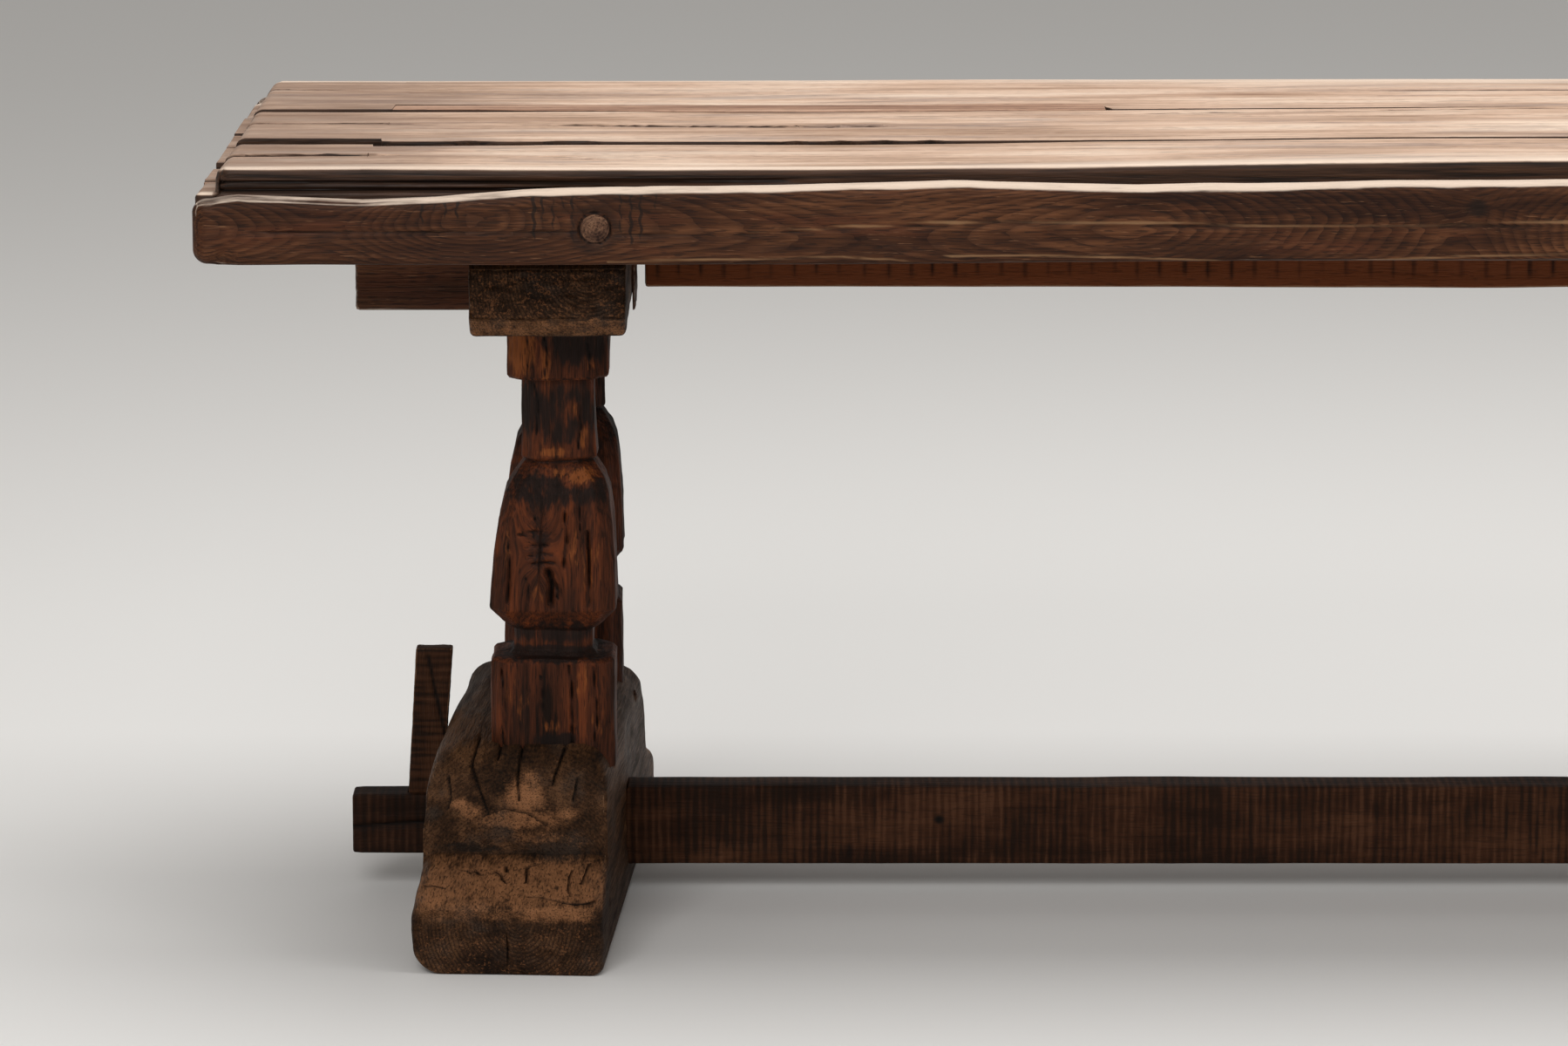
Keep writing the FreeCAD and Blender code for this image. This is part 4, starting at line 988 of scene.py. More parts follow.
# Height of the front rail's worn rim over its solid, from the left end
RIM_PATH = (
    (0.0, 0.0), (0.07, -0.003), (0.16, -0.006), (0.23, -0.0035), (0.31, 0.003), (0.4, 0.006),
    (0.56, 0.008), (0.72, 0.0115), (0.88, 0.008), (1.05, 0.0105), (1.29, 0.0135), (1.7, 0.01),
    (2.2, 0.004), (2.5, 0.0),
)
# Pale check along the rail's face: level, place along
RAIL_CHECK = (
    (0.7325, -1.2), (0.731, -1.08), (0.733, -0.96), (0.7275, -0.76), (0.7355, -0.62), (0.7405, -0.5),
    (0.7385, -0.36), (0.736, -0.25), (0.737, -0.05), (0.741, 0.15), (0.734, 0.5), (0.738, 0.8),
)
# Pale lines along its lower edge, each by level and place along
RAIL_FRAYS = (
    ((0.7015, -0.86), (0.7045, -0.72), (0.7062, -0.64), (0.703, -0.58)),
    ((0.7068, -0.55), (0.708, -0.47), (0.7055, -0.37), (0.702, -0.28)),
    ((0.702, -0.16), (0.707, -0.05), (0.71, 0.08)),
    ((0.703, 0.3), (0.708, 0.5), (0.705, 0.8)),
)
# Dark drip stains: place along, lowest level, strength
DRIPS = (
    (-1.034, 0.735, 0.9), (-1.022, 0.746, 0.6), (-1.012, 0.742, 0.75), (-1.001, 0.738, 0.85),
    (-0.962, 0.752, 0.5), (-0.929, 0.722, 1.0), (-0.921, 0.735, 0.7), (-0.911, 0.73, 0.6),
    (-0.902, 0.74, 0.55), (-0.893, 0.72, 0.7), (-0.848, 0.725, 0.7), (-0.838, 0.716, 0.85),
    (-0.829, 0.72, 0.8), (-0.815, 0.745, 0.5),
)
# Half width of a drip, how far it wavers, and how fast along its length and from drip to drip
DRIP_WIDTH = 0.0017
DRIP_BEND = 0.001
DRIP_WAVES = (420, 900)
# Where the drips lie from the middle of the table, and how far they spread
DRIP_MIDDLE = 0.925
DRIP_SPREAD = 0.125
# Crack about a peg: radius, half width
PEG_RING = (0.0147, 0.0022)
# Chip at the lower left corner: in from the end, up from the edge, two radii, strength
RAIL_CHIP = (0.03, 0.006, 0.01, 0.008, 1.0)
# Knot in the rail's face: place along, level, two radii, strength
RAIL_KNOT = (-0.045, 0.752, 0.014, 0.01, 0.9)
# Where the heart of the tree lies behind the rail's face, which makes the arches: place along, depth, level
RAIL_ARCHES = (
    (-1.25, 0.03, 0.735), (-1.12, 0.055, 0.73), (-0.99, 0.012, 0.742), (-0.84, 0.045, 0.738),
    (-0.62, 0.062, 0.722), (-0.36, 0.04, 0.735), (-0.06, 0.1, 0.738), (0.12, 0.05, 0.735),
    (0.36, 0.08, 0.73), (0.62, 0.02, 0.74), (0.9, 0.055, 0.735), (1.25, 0.02, 0.73),
)


class REFECTORY_OT_rails(bpy.types.Operator):
    """Build the two edge rails with their wavy worn rims."""

    bl_idname = "refectory.rails"
    bl_label = "Edge rails"

    def execute(self, context):
        top = context.scene.refectory_top
        for node, side, seed in (("front_rail", -1, 11), ("back_rail", 1, 12)):
            self.rail(top, node, side, seed)
        return {"FINISHED"}

    def rail(self, top, node, side, seed):
        """Build one rail; the back one is the front one turned round."""
        low, high = node_box(node)
        dense = [(low[0], 0.03, 0.003), (high[0], 0.03, 0.003)]
        dense.append((side * DRIP_MIDDLE, DRIP_SPREAD, 0.0014))
        pegs = [node_box(tie) for tie in ("left_cross_tie", "right_cross_tie")]
        dense += [((start[0] + end[0]) / 2, 0.021, 0.0015) for start, end in pegs]
        piece, flat = grid_box("worn_" + node, "rail", low, high, (dense, (), ()))
        points = self.rounded(top, flat, low, high, seed)
        x = -side * points[:, 0]
        middle = (low[1] + high[1]) / 2
        outer = smooth(side * points[:, 1], side * middle, max(side * low[1], side * high[1]))
        self.worn_edges(points, flat, x, low, high, seed)
        face = 0.0013 * rough(points, (0.3, 1.0, 0.05), seed) - 0.0008
        face += 0.0005 * rough(points, (0.07, 1.0, 0.006), seed + 5)
        points[:, 1] += side * outer * face
        crack, soot = self.marks(points, x, outer > 0.9, pegs, side)
        corner = (low[0] + RAIL_CHIP[0], low[2] + RAIL_CHIP[1], *RAIL_CHIP[2:])
        chip = spots(x, points[:, 2], (corner,)) * (outer > 0.5)
        points[:, 1] -= side * 0.008 * chip * (0.6 + 0.4 * rough(points, (0.006, 1.0, 0.006), seed))
        write_points(piece, points)
        up = facing(piece)[:, 2]
        wear = edge_nearness(flat, low, high, 0.0045)
        rim = smooth(flat[:, 2], low[2] + 0.04, high[2])
        line = self.pale_lines(points[:, 2], x, outer)
        # Rubbed wood and painted highlight on the rim, where it looks up
        rubbed = self.rubbing(x, up, high[0], seed)
        self.grain(piece, points, x, side, seed)
        paint(
            piece,
            wear=np.maximum(wear * (0.5 + 0.35 * rim), rubbed) + 0.2 * chip,
            rub=np.maximum(line, 0.3 * chip),
            crack=crack,
            soot=soot,
        )
        dress(piece, [node], "top", WOODS["oiled_oak"])

    @staticmethod
    def pale_lines(level, x, outer):
        """Give the pale check along the face of a rail and the frayed lines at its lower edge."""
        line = groove(level, x, RAIL_CHECK, 0.0026) * (outer > 0.9)
        line *= 0.2 + 0.8 * smooth(x, -0.8, -0.6)
        for path in RAIL_FRAYS:
            line = np.maximum(line, 0.9 * groove(level, x, path, 0.0024) * (outer > 0.7))
        return line

    @staticmethod
    def rubbing(x, up, end, seed):
        """Give the rubbing and painted highlight on the rim of a rail, least at its left and at its ends.
        """
        inward = smooth(x, -1.13, -0.85)
        rubbed = smooth(up, 0.62 - 0.4 * inward, 0.95 - 0.25 * inward) * (0.82 + 0.33 * inward)
        at_end = smooth(np.abs(x), end - 0.07, end - 0.03)
        rubbed += at_end * (0.8 * smooth(up, 0.3, 0.8) - rubbed)
        return rubbed + 0.15 * (along_x(x, 0.05, seed + 7) - 0.3) * smooth(up, 0.2, 0.7)

    @staticmethod
    def rounded(top, flat, low, high, seed):
        """Round the edges of a rail, most at its ends."""
        near_end = smooth(np.abs(flat[:, 0]), high[0] - 0.03, high[0] - 0.015)
        rim = smooth(flat[:, 2], (low[2] + high[2]) / 2, high[2] - 0.01)
        radius = top.rail_round + rim * (top.rim_round - top.rail_round)
        radius *= 1 + 0.3 * along_x(flat[:, 0], 0.15, seed)
        return soften(flat, low, high, radius + near_end * (top.rail_corner - radius))

    @staticmethod
    def worn_edges(points, flat, x, low, high, seed):
        """Bend the rim and the lower edge of a rail to their worn lines."""
        rim_x, rim_z = np.array(RIM_PATH).T
        rim = np.interp(x, rim_x + low[0], rim_z) + 0.0011 * along_x(x, 0.06, seed + 2)
        rim -= 0.005 * smooth(np.abs(x), high[0] - 0.045, high[0] - 0.012)
        points[:, 2] += rim * smooth(flat[:, 2], (low[2] + high[2]) / 2, high[2])
        foot = 0.0012 * along_x(x, 0.2, seed + 4) + 0.005 * smooth(x, -1.0, 0.1) * (1 - smooth(x, 0.5, 1.2))
        points[:, 2] += foot * smooth(-flat[:, 2], -low[2] - 0.025, -low[2])

    @staticmethod
    def marks(points, x, face, pegs, side):
        """Open the check and the rings about the pegs, and give the cracks and the stains."""
        level = points[:, 2]
        line = groove(level, x, [(z - 0.0022, place) for z, place in RAIL_CHECK], 0.0018) * face
        points[:, 1] -= side * 0.002 * line
        crack = 0.75 * line
        soot = np.zeros(len(points))
        for low, high in pegs:
            centre = (low + high) / 2
            far = np.hypot(points[:, 0] - centre[0], level - centre[2])
            ring = np.clip(1 - np.abs(far - PEG_RING[0]) / PEG_RING[1], 0, 1) * face
            points[:, 1] -= side * 0.002 * ring
            crack = np.maximum(crack, ring)
            soot = np.maximum(soot, 0.6 * np.exp(-(np.abs(far - 0.02) / 0.01) ** 2))
        for place, lowest, strength in DRIPS:
            bent = x - place - DRIP_BEND * np.sin(level * DRIP_WAVES[0] + place * DRIP_WAVES[1])
            drip = np.exp(-((bent / DRIP_WIDTH) ** 2)) * smooth(level, lowest - 0.012, lowest + 0.012)
            drip *= 0.85 + 0.6 * rough(points, (0.004, 1.0, 0.005), 31)
            soot = np.maximum(soot, 1.5 * strength * drip)
        soot = np.maximum(soot, spots(x, level, (RAIL_KNOT,)))
        return crack, soot * face

    @staticmethod
    def grain(piece, points, x, side, seed):
        """Lay the grain along a rail and round its knot, with rings that show as arches on its face."""
        level = points[:, 2]
        grain = grain_along(points, 0, (0, side * 0.39, 0), seed)
        knot = np.exp(-(((x - RAIL_KNOT[0]) / 0.03) ** 2) - ((level - RAIL_KNOT[1]) / 0.02) ** 2)
        grain[:, 2] += 0.008 * knot * np.sign(level - RAIL_KNOT[1])
        places, depths, hearts = np.array(RAIL_ARCHES).T
        depth = sum(np.interp(x + step, places, depths) for step in (-0.025, 0, 0.025)) / 3
        heart = sum(np.interp(x + step, places, hearts) for step in (-0.05, 0, 0.05)) / 3
        paint(
            piece,
            grain=grain,
            arch=np.stack([0 * x, -side * depth, -heart], axis=1),
        )


def build_peg(name, start, end, radius, seed):
    """Build a hand cut round peg from start to end: a many-sided rod, domed and a little uneven."""
    start, end = np.asarray(start, dtype=float), np.asarray(end, dtype=float)
    length = np.linalg.norm(end - start)
    bpy.ops.object.select_all(action="DESELECT")
    bpy.ops.mesh.primitive_cylinder_add(vertices=28, radius=radius, depth=length, end_fill_type="TRIFAN")
    piece = bpy.context.object
    piece.name = name
    piece.data.name = name
    bpy.ops.object.mode_set(mode="EDIT")
    bpy.ops.mesh.select_all(action="SELECT")
    bpy.ops.mesh.subdivide(number_cuts=3)
    bpy.ops.object.mode_set(mode="OBJECT")
    points = read_points(piece)
    far = np.linalg.norm(points[:, :2], axis=1) / radius
    dome = 0.0018 * smooth(far, 0.55, 1.0) + 0.0004 * ripple(points, (0.006, 0.006, 0.02), seed)
    tip = np.abs(points[:, 2]) > length / 2 - CLOSEST
    points[:, 2] -= np.sign(points[:, 2]) * dome * tip
    turn = np.arctan2(points[:, 1], points[:, 0])
    cut = 1 - 0.025 * np.abs(np.sin(turn * 3.5 + seed))
    points[:, :2] *= cut[:, None]
    axis = int(np.argmax(np.abs(end - start)))
    turned = np.roll(points, axis - 2, axis=1)
    turned += (start + end) / 2
    write_points(piece, turned)
    return piece, turned, axis


def join_pieces(pieces, name):
    """Join copies of one kind of piece into one object."""
    pick(*pieces)
    if len(pieces) > 1:
        bpy.ops.object.join()
    pieces[0].name = name
    pieces[0].data.name = name
    bpy.ops.object.mode_set(mode="EDIT")
    bpy.ops.mesh.select_all(action="SELECT")
    bpy.ops.mesh.normals_make_consistent(inside=False)
    bpy.ops.object.mode_set(mode="OBJECT")
    return pieces[0]


def solid_boxes(node):
    """Give the box of each separate solid in a node, found by the gaps between its vertices."""
    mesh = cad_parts[node].data
    shape = bmesh.new()
    shape.from_mesh(mesh)
    bmesh.ops.remove_doubles(shape, verts=shape.verts, dist=1e-6)
    left = set(shape.verts)
    boxes = []
    while left:
        heap = [left.pop()]
        found = list(heap)
        while heap:
            for edge in heap.pop().link_edges:
                for vert in edge.verts:
                    if vert in left:
                        left.remove(vert)
                        heap.append(vert)
                        found.append(vert)
        places = np.array([vert.co for vert in found])
        boxes.append((places.min(axis=0), places.max(axis=0)))
    shape.free()
    return sorted(boxes, key=lambda box: tuple(box[0]))


PEG_GROUPS = (
    ("left_cross_tie", "top"),
    ("right_cross_tie", "top"),
    ("under_rail_dowels", "top"),
    ("left_tenon_pegs", "base"),
    ("right_tenon_pegs", "base"),
)


class REFECTORY_OT_pegs(bpy.types.Operator):
    """Build the cross ties, the dowels and the pegs of the tenons."""

    bl_idname = "refectory.pegs"
    bl_label = "Ties and pegs"

    def execute(self, context):
        for number, (node, body) in enumerate(PEG_GROUPS):
            pieces = []
            for place, (low, high) in enumerate(solid_boxes(node)):
                size = high - low
                axis = int(np.argmax(size))
                start, end = (low + high) / 2, (low + high) / 2
                start[axis], end[axis] = low[axis], high[axis]
                radius = np.delete(size, axis).min() / 2
                piece, points, axis = build_peg(f"{node}_{place}", start, end, radius, number + place)
                paint(piece, grain=grain_along(points, axis, (start + end) / 2, number + place))
                pieces.append(piece)
            dress(join_pieces(pieces, "cut_" + node), [node], body, WOODS["peg_oak"])
        return {"FINISHED"}


# Beams along the table

# Marks that the saw left in the rail under the top: spacing and half width
SAW_PITCH = 0.0228
SAW_MARK = 0.0026
# Through tenons of the stretcher: width, height, how far up they start, and how far in from its shoulder
TUSK_WIDTH = 0.044
TUSK_HEIGHT = 0.061
TUSK_LOW = 0.01
TUSK_INSET = 0.03
# Split in the left tenon: level and distance from its end, and half width
TUSK_CRACK = ((0.068, 0.0), (0.073, 0.07), (0.071, 0.15))
TUSK_CRACK_WIDTH = 0.0042
# Knots in the front of the stretcher: place along, level, two radii, strength
STRETCHER_KNOTS = (
    (-0.538, 0.076, 0.005, 0.0045, 0.95), (-0.629, 0.043, 0.006, 0.009, 0.55),
    (0.21, 0.07, 0.006, 0.005, 0.9),
)
# Slots of the wedges: play about the wedge, room behind it, and the levels that the cutter reaches
SLOT_ROOM = 0.0006
SLOT_BEYOND = 0.014
SLOT_LOW = 0.02
SLOT_HIGH = 0.121
# Rounded edges of the wedges
WEDGE_ROUND = 0.0022


class REFECTORY_OT_beams(bpy.types.Operator):
    """Build the rail under the top and the stretcher with its through tenons."""

    bl_idname = "refectory.beams"
    bl_label = "Under rail and stretcher"

    def execute(self, context):
        self.under_rail()
        self.stretcher()
        return {"FINISHED"}

    @staticmethod
    def under_rail():
        """Build the rail under the top."""
        low, high = node_box("under_rail")
        piece, flat = grid_box("sawn_under_rail", "under_rail", low, high)
        radius = 0.003 + 0.0012 * along_x(flat[:, 0], 0.1, 21)
        points = soften(flat, low, high, radius)
        bottom = smooth(-flat[:, 2], -low[2] - 0.03, -low[2])
        points[:, 2] += bottom * 0.002 * along_x(flat[:, 0], 0.3, 22)
        points[:, 1] += 0.0009 * rough(points, (0.05, 1.0, 0.05), 23) * np.sign(points[:, 1])
        write_points(piece, points)
        x, level = flat[:, 0], flat[:, 2]
        turn = x / SAW_PITCH + 0.25 * along_x(x, 0.06, 24)
        tooth = np.exp(-(((turn - np.rint(turn)) * SAW_PITCH / SAW_MARK) ** 2))
        lowest = low[2] + (high[2] - low[2]) * (0.13 + 0.07 * along_x(x, 0.03, 26))
        tooth *= (0.62 + 0.38 * along_x(x, 0.05, 25)) * smooth(level, lowest - 0.006, lowest + 0.008)
        paint(
            piece,
            grain=grain_along(points, 0, (0, 0.04, 0.6), 21),
            rub=np.ones(len(points)),
            wear=edge_nearness(flat, low, high, 0.004) * (0.8 + 0.5 * bottom),
            crack=tooth,
        )
        dress(piece, ["under_rail"], "top", WOODS["sawn_oak"])

    @staticmethod
    def stretcher():
        """Build the stretcher and cut its wedge slots."""
        low, high = node_box("stretcher")
        shoulder = -node_box("left_foot")[1][0] - 0.002
        dense = [(-shoulder, 0.002, 0.001), (shoulder, 0.002, 0.001)]
        dense += [(place[0], 0.014, 0.002) for place in STRETCHER_KNOTS]
        piece, flat = grid_box("sawn_stretcher", "stretcher", low, high, (dense, (), ()))
        radius = 0.0035 + 0.0015 * along_x(flat[:, 0], 0.1, 31)
        points = soften(flat, low, high, radius)
        tenon = np.abs(points[:, 0]) > shoulder + TUSK_INSET
        middle = (low + high) / 2
        points[:, 1] = np.where(tenon, points[:, 1] * TUSK_WIDTH / (high[1] - low[1]), points[:, 1])
        share = (points[:, 2] - low[2]) / (high[2] - low[2])
        tusk = low[2] + TUSK_LOW + share * TUSK_HEIGHT
        points[:, 2] = np.where(tenon, tusk, points[:, 2])
        top_edge = smooth(flat[:, 2], middle[2], high[2])
        points[:, 2] += np.where(tenon, 0, top_edge * 0.0012 * along_x(flat[:, 0], 0.2, 32) - 0.0006)
        side = np.where(tenon, 0.0003, 0.0008)
        points[:, 1] -= np.sign(points[:, 1]) * side * (1 + rough(points, (0.05, 1.0, 0.05), 33))
        split = [(level, low[0] + along) for level, along in TUSK_CRACK]
        line = groove(points[:, 2], points[:, 0], split, TUSK_CRACK_WIDTH) * (np.abs(points[:, 1]) > 0.018)
        points[:, 1] -= np.sign(points[:, 1]) * 0.003 * line
        write_points(piece, points)
        for node in ("left_wedge", "right_wedge"):
            cut_slot(piece, node)
        points = read_points(piece)
        line = groove(points[:, 2], points[:, 0], split, TUSK_CRACK_WIDTH) * (np.abs(points[:, 1]) > 0.012)
        line = np.maximum(line, spots(points[:, 0], points[:, 2], STRETCHER_KNOTS) * (points[:, 1] < -0.02))
        # Painted shade darkens the tenons all over
        dusk = 0.4 * (np.abs(points[:, 0]) > shoulder + TUSK_INSET)
        paint(
            piece,
            grain=grain_along(points, 0, (0, 0.05, 0.12), 31),
            saw=np.ones(len(points)),
            wear=edge_nearness(points, low, high, 0.004),
            crack=np.maximum(line, dusk),
        )
        dress(piece, ["stretcher"], "base", WOODS["sawn_oak"])


def wedge_ends(node):
    """Give the foot and the top of a wedge as low and high corners of its lowest and highest points."""
    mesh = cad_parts[node].data
    points = np.array([vert.co for vert in mesh.vertices])
    low = points[points[:, 2] < points[:, 2].min() + 0.001]
    high = points[points[:, 2] > points[:, 2].max() - 0.001]
    return (low.min(axis=0), low.max(axis=0)), (high.min(axis=0), high.max(axis=0))


def cut_slot(piece, node):
    """Cut the slanted slot of a wedge through the stretcher."""
    (foot_low, foot_high), (top_low, top_high) = wedge_ends(node)
    inward = 1 if foot_low[0] < 0 else -1
    bpy.ops.object.select_all(action="DESELECT")
    bpy.ops.mesh.primitive_cube_add(size=2)
    cutter = bpy.context.object
    points = read_points(cutter)
    level = np.where(points[:, 2] > 0, SLOT_HIGH, SLOT_LOW)
    share = (level - foot_low[2]) / (top_low[2] - foot_low[2])
    left = foot_low[0] + share * (top_low[0] - foot_low[0]) - (SLOT_ROOM if inward > 0 else SLOT_BEYOND)
    right = foot_high[0] + share * (top_high[0] - foot_high[0]) + (SLOT_BEYOND if inward > 0 else SLOT_ROOM)
    points[:, 0] = np.where(points[:, 0] > 0, right, left)
    points[:, 1] = np.sign(points[:, 1]) * (foot_high[1] + SLOT_ROOM)
    points[:, 2] = level
    write_points(cutter, points)
    pick(piece)
    cut = piece.modifiers.new("slot", "BOOLEAN")
    cut.operation = "DIFFERENCE"
    cut.solver = "EXACT"
    cut.object = cutter
    bpy.ops.object.modifier_apply(modifier=cut.name)
    bpy.data.objects.remove(cutter)


class REFECTORY_OT_wedges(bpy.types.Operator):
    """Build the two upright wedges that lock the stretcher."""

    bl_idname = "refectory.wedges"
    bl_label = "Wedges"

    def execute(self, context):
        for node, seed in (("left_wedge", 41), ("right_wedge", 42)):
            (foot_low, foot_high), (top_low, top_high) = wedge_ends(node)
            half = (top_high[0] - top_low[0]) / 2
            low = np.array([-half, foot_low[1], foot_low[2]])
            high = np.array([half, foot_high[1], top_high[2]])
            piece, flat = grid_box("sawn_" + node, "wedge", low, high)
            points = soften(flat, low, high, WEDGE_ROUND)
            share = (points[:, 2] - low[2]) / (high[2] - low[2])
            left = foot_low[0] + share * (top_low[0] - foot_low[0])
            right = foot_high[0] + share * (top_high[0] - foot_high[0])
            across = (points[:, 0] + half) / (2 * half)
            dent = 0.0004 * (1 + rough(flat, (0.02, 0.02, 0.006), seed))
            points[:, 0] = left + across * (right - left) - np.sign(points[:, 0]) * dent
            points[:, 1] -= np.sign(points[:, 1]) * dent
            crown = smooth(flat[:, 2], high[2] - 0.004, high[2])
            points[:, 2] -= crown * 0.0012 * (1 + rough(flat, (0.012, 0.012, 1.0), seed + 1))
            path = [(high[2] - 0.008, -0.006), (high[2] - 0.045, 0.004), (high[2] - 0.09, 0.017)]
            line = groove(flat[:, 2], flat[:, 0], path, 0.0028) * (np.abs(flat[:, 1]) > 0.009)
            points[:, 1] -= np.sign(flat[:, 1]) * 0.0014 * line
            write_points(piece, points)
            middle = (foot_low + foot_high) / 2
            paint(
                piece,
                grain=grain_along(points, 2, (middle[0] + 0.03, 0.03, 0), seed),
                saw=np.ones(len(points)),
                wear=edge_nearness(flat, low, high, 0.003),
                crack=0.28 + 0.7 * line,
            )
            dress(piece, [node], node, WOODS["sawn_oak"])
        return {"FINISHED"}


# Trestles

# Which way each trestle lies from the middle of the table
SIDES = {"left": -1, "right": 1}
# Heart of the tree in a bearer, inboard of its middle and above its underside, and the pitch of its ridges
BEARER_HEART = (0.037, 0.062)
RIDGE_PITCH = 0.0072


def trestle_x(name):
    """Give the middle of a trestle along the table, from its bearer."""
    low, high = node_box(name + "_bearer")
    return (low[0] + high[0]) / 2


class REFECTORY_OT_bearers(bpy.types.Operator):
    """Build the bearers across the trestles and the bolsters lapped over them."""

    bl_idname = "refectory.bearers"
    bl_label = "Bearers and bolsters"

    def execute(self, context):
        sizes = context.scene.refectory_trestle
        for name, side in SIDES.items():
            self.bearer(sizes, name + "_bearer", 51 + side)
            self.bolster(name, 55 + side)
        return {"FINISHED"}

    @staticmethod
    def bearer(sizes, node, seed):
        """Build one bearer with bevelled, rough sawn ends."""
        low, high = node_box(node)
        centre = (low + high) / 2
        ends = [(low[1], 0.034, 0.003), (high[1], 0.034, 0.003)]
        piece, flat = grid_box("worn_" + node, "bearer", low, high, ((), ends, ()))
        points = soften(flat, low, high, 0.0055 + 0.0025 * rough(flat, (0.06, 0.08, 0.06), seed))
        reach = np.abs(points[:, 1]) - high[1]
        bevel = sizes.bevel_rise * np.clip(1 + reach / sizes.bevel_run, 0, 1)
        ease = sizes.ease_drop * np.clip(1 + reach / sizes.ease_run, 0, 1)
        share = (points[:, 2] - low[2]) / (high[2] - low[2])
        points[:, 2] = low[2] + bevel + share * (high[2] - low[2] - bevel - ease)
        points += 0.0012 * rough(points, (0.05, 0.1, 0.05), seed)[:, None] * np.sign(points - centre)
        tips = np.abs(flat[:, 1]) > high[1] - CLOSEST
        pith = (centre[0] - np.sign(centre[0]) * BEARER_HEART[0], 0, low[2] + BEARER_HEART[1])
        ring = np.hypot(points[:, 0] - pith[0], points[:, 2] - pith[2])
        ridges = np.sin(ring / RIDGE_PITCH * 2 * math.pi + 2 * rough(points, (0.03, 1.0, 0.03), seed + 7))
        pits = 1 + rough(flat, (0.01, 1.0, 0.008), seed + 2) + 0.35 * ridges
        points[:, 1] -= tips * np.sign(flat[:, 1]) * 0.0016 * pits
        points[:, 2] = np.minimum(points[:, 2], high[2])
        write_points(piece, points)
        slope = (bevel > 0.001) & (facing(piece)[:, 2] < -0.3)
        paint(
            piece,
            grain=grain_along(points, 1, pith, seed),
            wear=0.8 * edge_nearness(flat, low, high, 0.005),
            rub=0.56 * slope,
            soot=tips * (0.28 + 0.06 * pits),
            cut=1.0 * tips,
        )
        dress(piece, [node], "base", WOODS["weathered_oak"])

    @staticmethod
    def bolster(name, seed):
        """Build one bolster, notched over its bearer."""
        node = name + "_bolster"
        low, high = node_box(node)
        bearer_low, bearer_high = node_box(name + "_bearer")
        notch = [(bearer_low[0], 0.002, 0.001), (bearer_high[0], 0.002, 0.001)]
        piece, flat = grid_box("worn_" + node, "bolster", low, high, (notch, (), ()))
        points = soften(flat, low, high, 0.004 + 0.0015 * rough(flat, (0.05, 0.05, 0.05), seed))
        inside = (points[:, 0] > bearer_low[0]) & (points[:, 0] < bearer_high[0])
        floor = np.where(inside, (bearer_low[2] + bearer_high[2]) / 2, low[2])
        points[:, 2] = high[2] - (high[2] - points[:, 2]) * (high[2] - floor) / (high[2] - low[2])
        points[:, 1] -= np.sign(points[:, 1]) * 0.0008 * (1 + rough(points, (0.08, 1.0, 0.03), seed))
        tips = np.abs(flat[:, 0] - (low[0] + high[0]) / 2) > (high[0] - low[0]) / 2 - CLOSEST
        outward = tips * np.sign(flat[:, 0] - trestle_x(name))
        points[:, 0] -= outward * 0.001 * (1 + rough(flat, (1, 0.01, 0.01), seed))
        write_points(piece, points)
        paint(
            piece,
            grain=grain_along(points, 0, (0, 0.03, 0.56), seed),
            wear=0.7 * edge_nearness(flat, low, high, 0.004),
            soot=np.full(len(points), 0.34),
        )
        dress(piece, [node], "base", WOODS["oiled_oak"])


def post_profile(sizes, low_z, high_z):
    """Give the run of a post from bottom to top: level, width, depth and sideways shift."""
    belly_mid = (sizes.belly_foot + sizes.hip_top) / 2
    mid_width = (sizes.belly_width + sizes.hip_width) / 2 + 0.003
    mid_depth = (sizes.belly_depth + sizes.hip_depth) / 2 + 0.002
    rise = sizes.neck_foot - sizes.hip_top
    shift = sizes.post_shift
    neck_width, neck_depth = sizes.neck_width, sizes.neck_depth
    rows = (
        (low_z, sizes.plinth_width, sizes.plinth_depth, 0),
        (sizes.plinth_top - 0.004, sizes.plinth_width, sizes.plinth_depth, 0),
        (sizes.plinth_top, sizes.plinth_width - 0.006, sizes.plinth_depth - 0.006, 0),
        (sizes.plinth_top + 0.001, sizes.waist_width + 0.008, sizes.waist_depth + 0.008, 0),
        (sizes.plinth_top + 0.006, sizes.waist_width, sizes.waist_depth, 0),
        (sizes.waist_top - 0.004, sizes.waist_width, sizes.waist_depth, 0),
        (sizes.waist_top, sizes.waist_width + 0.013, sizes.waist_depth + 0.008, 0),
        (sizes.belly_foot, sizes.belly_width - 0.001, sizes.belly_depth - 0.001, 0),
        (sizes.belly_foot + 0.002, sizes.belly_width, sizes.belly_depth, 0),
        (belly_mid, mid_width, mid_depth, 0.25 * shift),
        (sizes.hip_top - 0.01, sizes.hip_width + 0.002, sizes.hip_depth + 0.001, 0.5 * shift),
        (sizes.hip_top + 0.3 * rise, 0.104, 0.089, 0.75 * shift),
        (sizes.hip_top + 0.6 * rise, 0.092, 0.08, shift),
        (sizes.neck_foot - 0.006, neck_width + 0.004, neck_depth + 0.004, shift),
        (sizes.neck_foot - 0.001, neck_width - 0.003, neck_depth - 0.003, shift),
        (sizes.neck_foot + 0.003, neck_width + 0.004, neck_depth + 0.003, shift),
        (sizes.neck_foot + 0.03, neck_width + 0.001, neck_depth, shift),
        (sizes.abacus_foot - 0.001, neck_width, neck_depth, shift),
        (sizes.abacus_foot, sizes.abacus_width - 0.004, sizes.abacus_depth - 0.004, shift),
        (sizes.abacus_foot + 0.003, sizes.abacus_width, sizes.abacus_depth, shift),
        (high_z, sizes.abacus_width, sizes.abacus_depth, shift),
    )
    return np.array(rows)


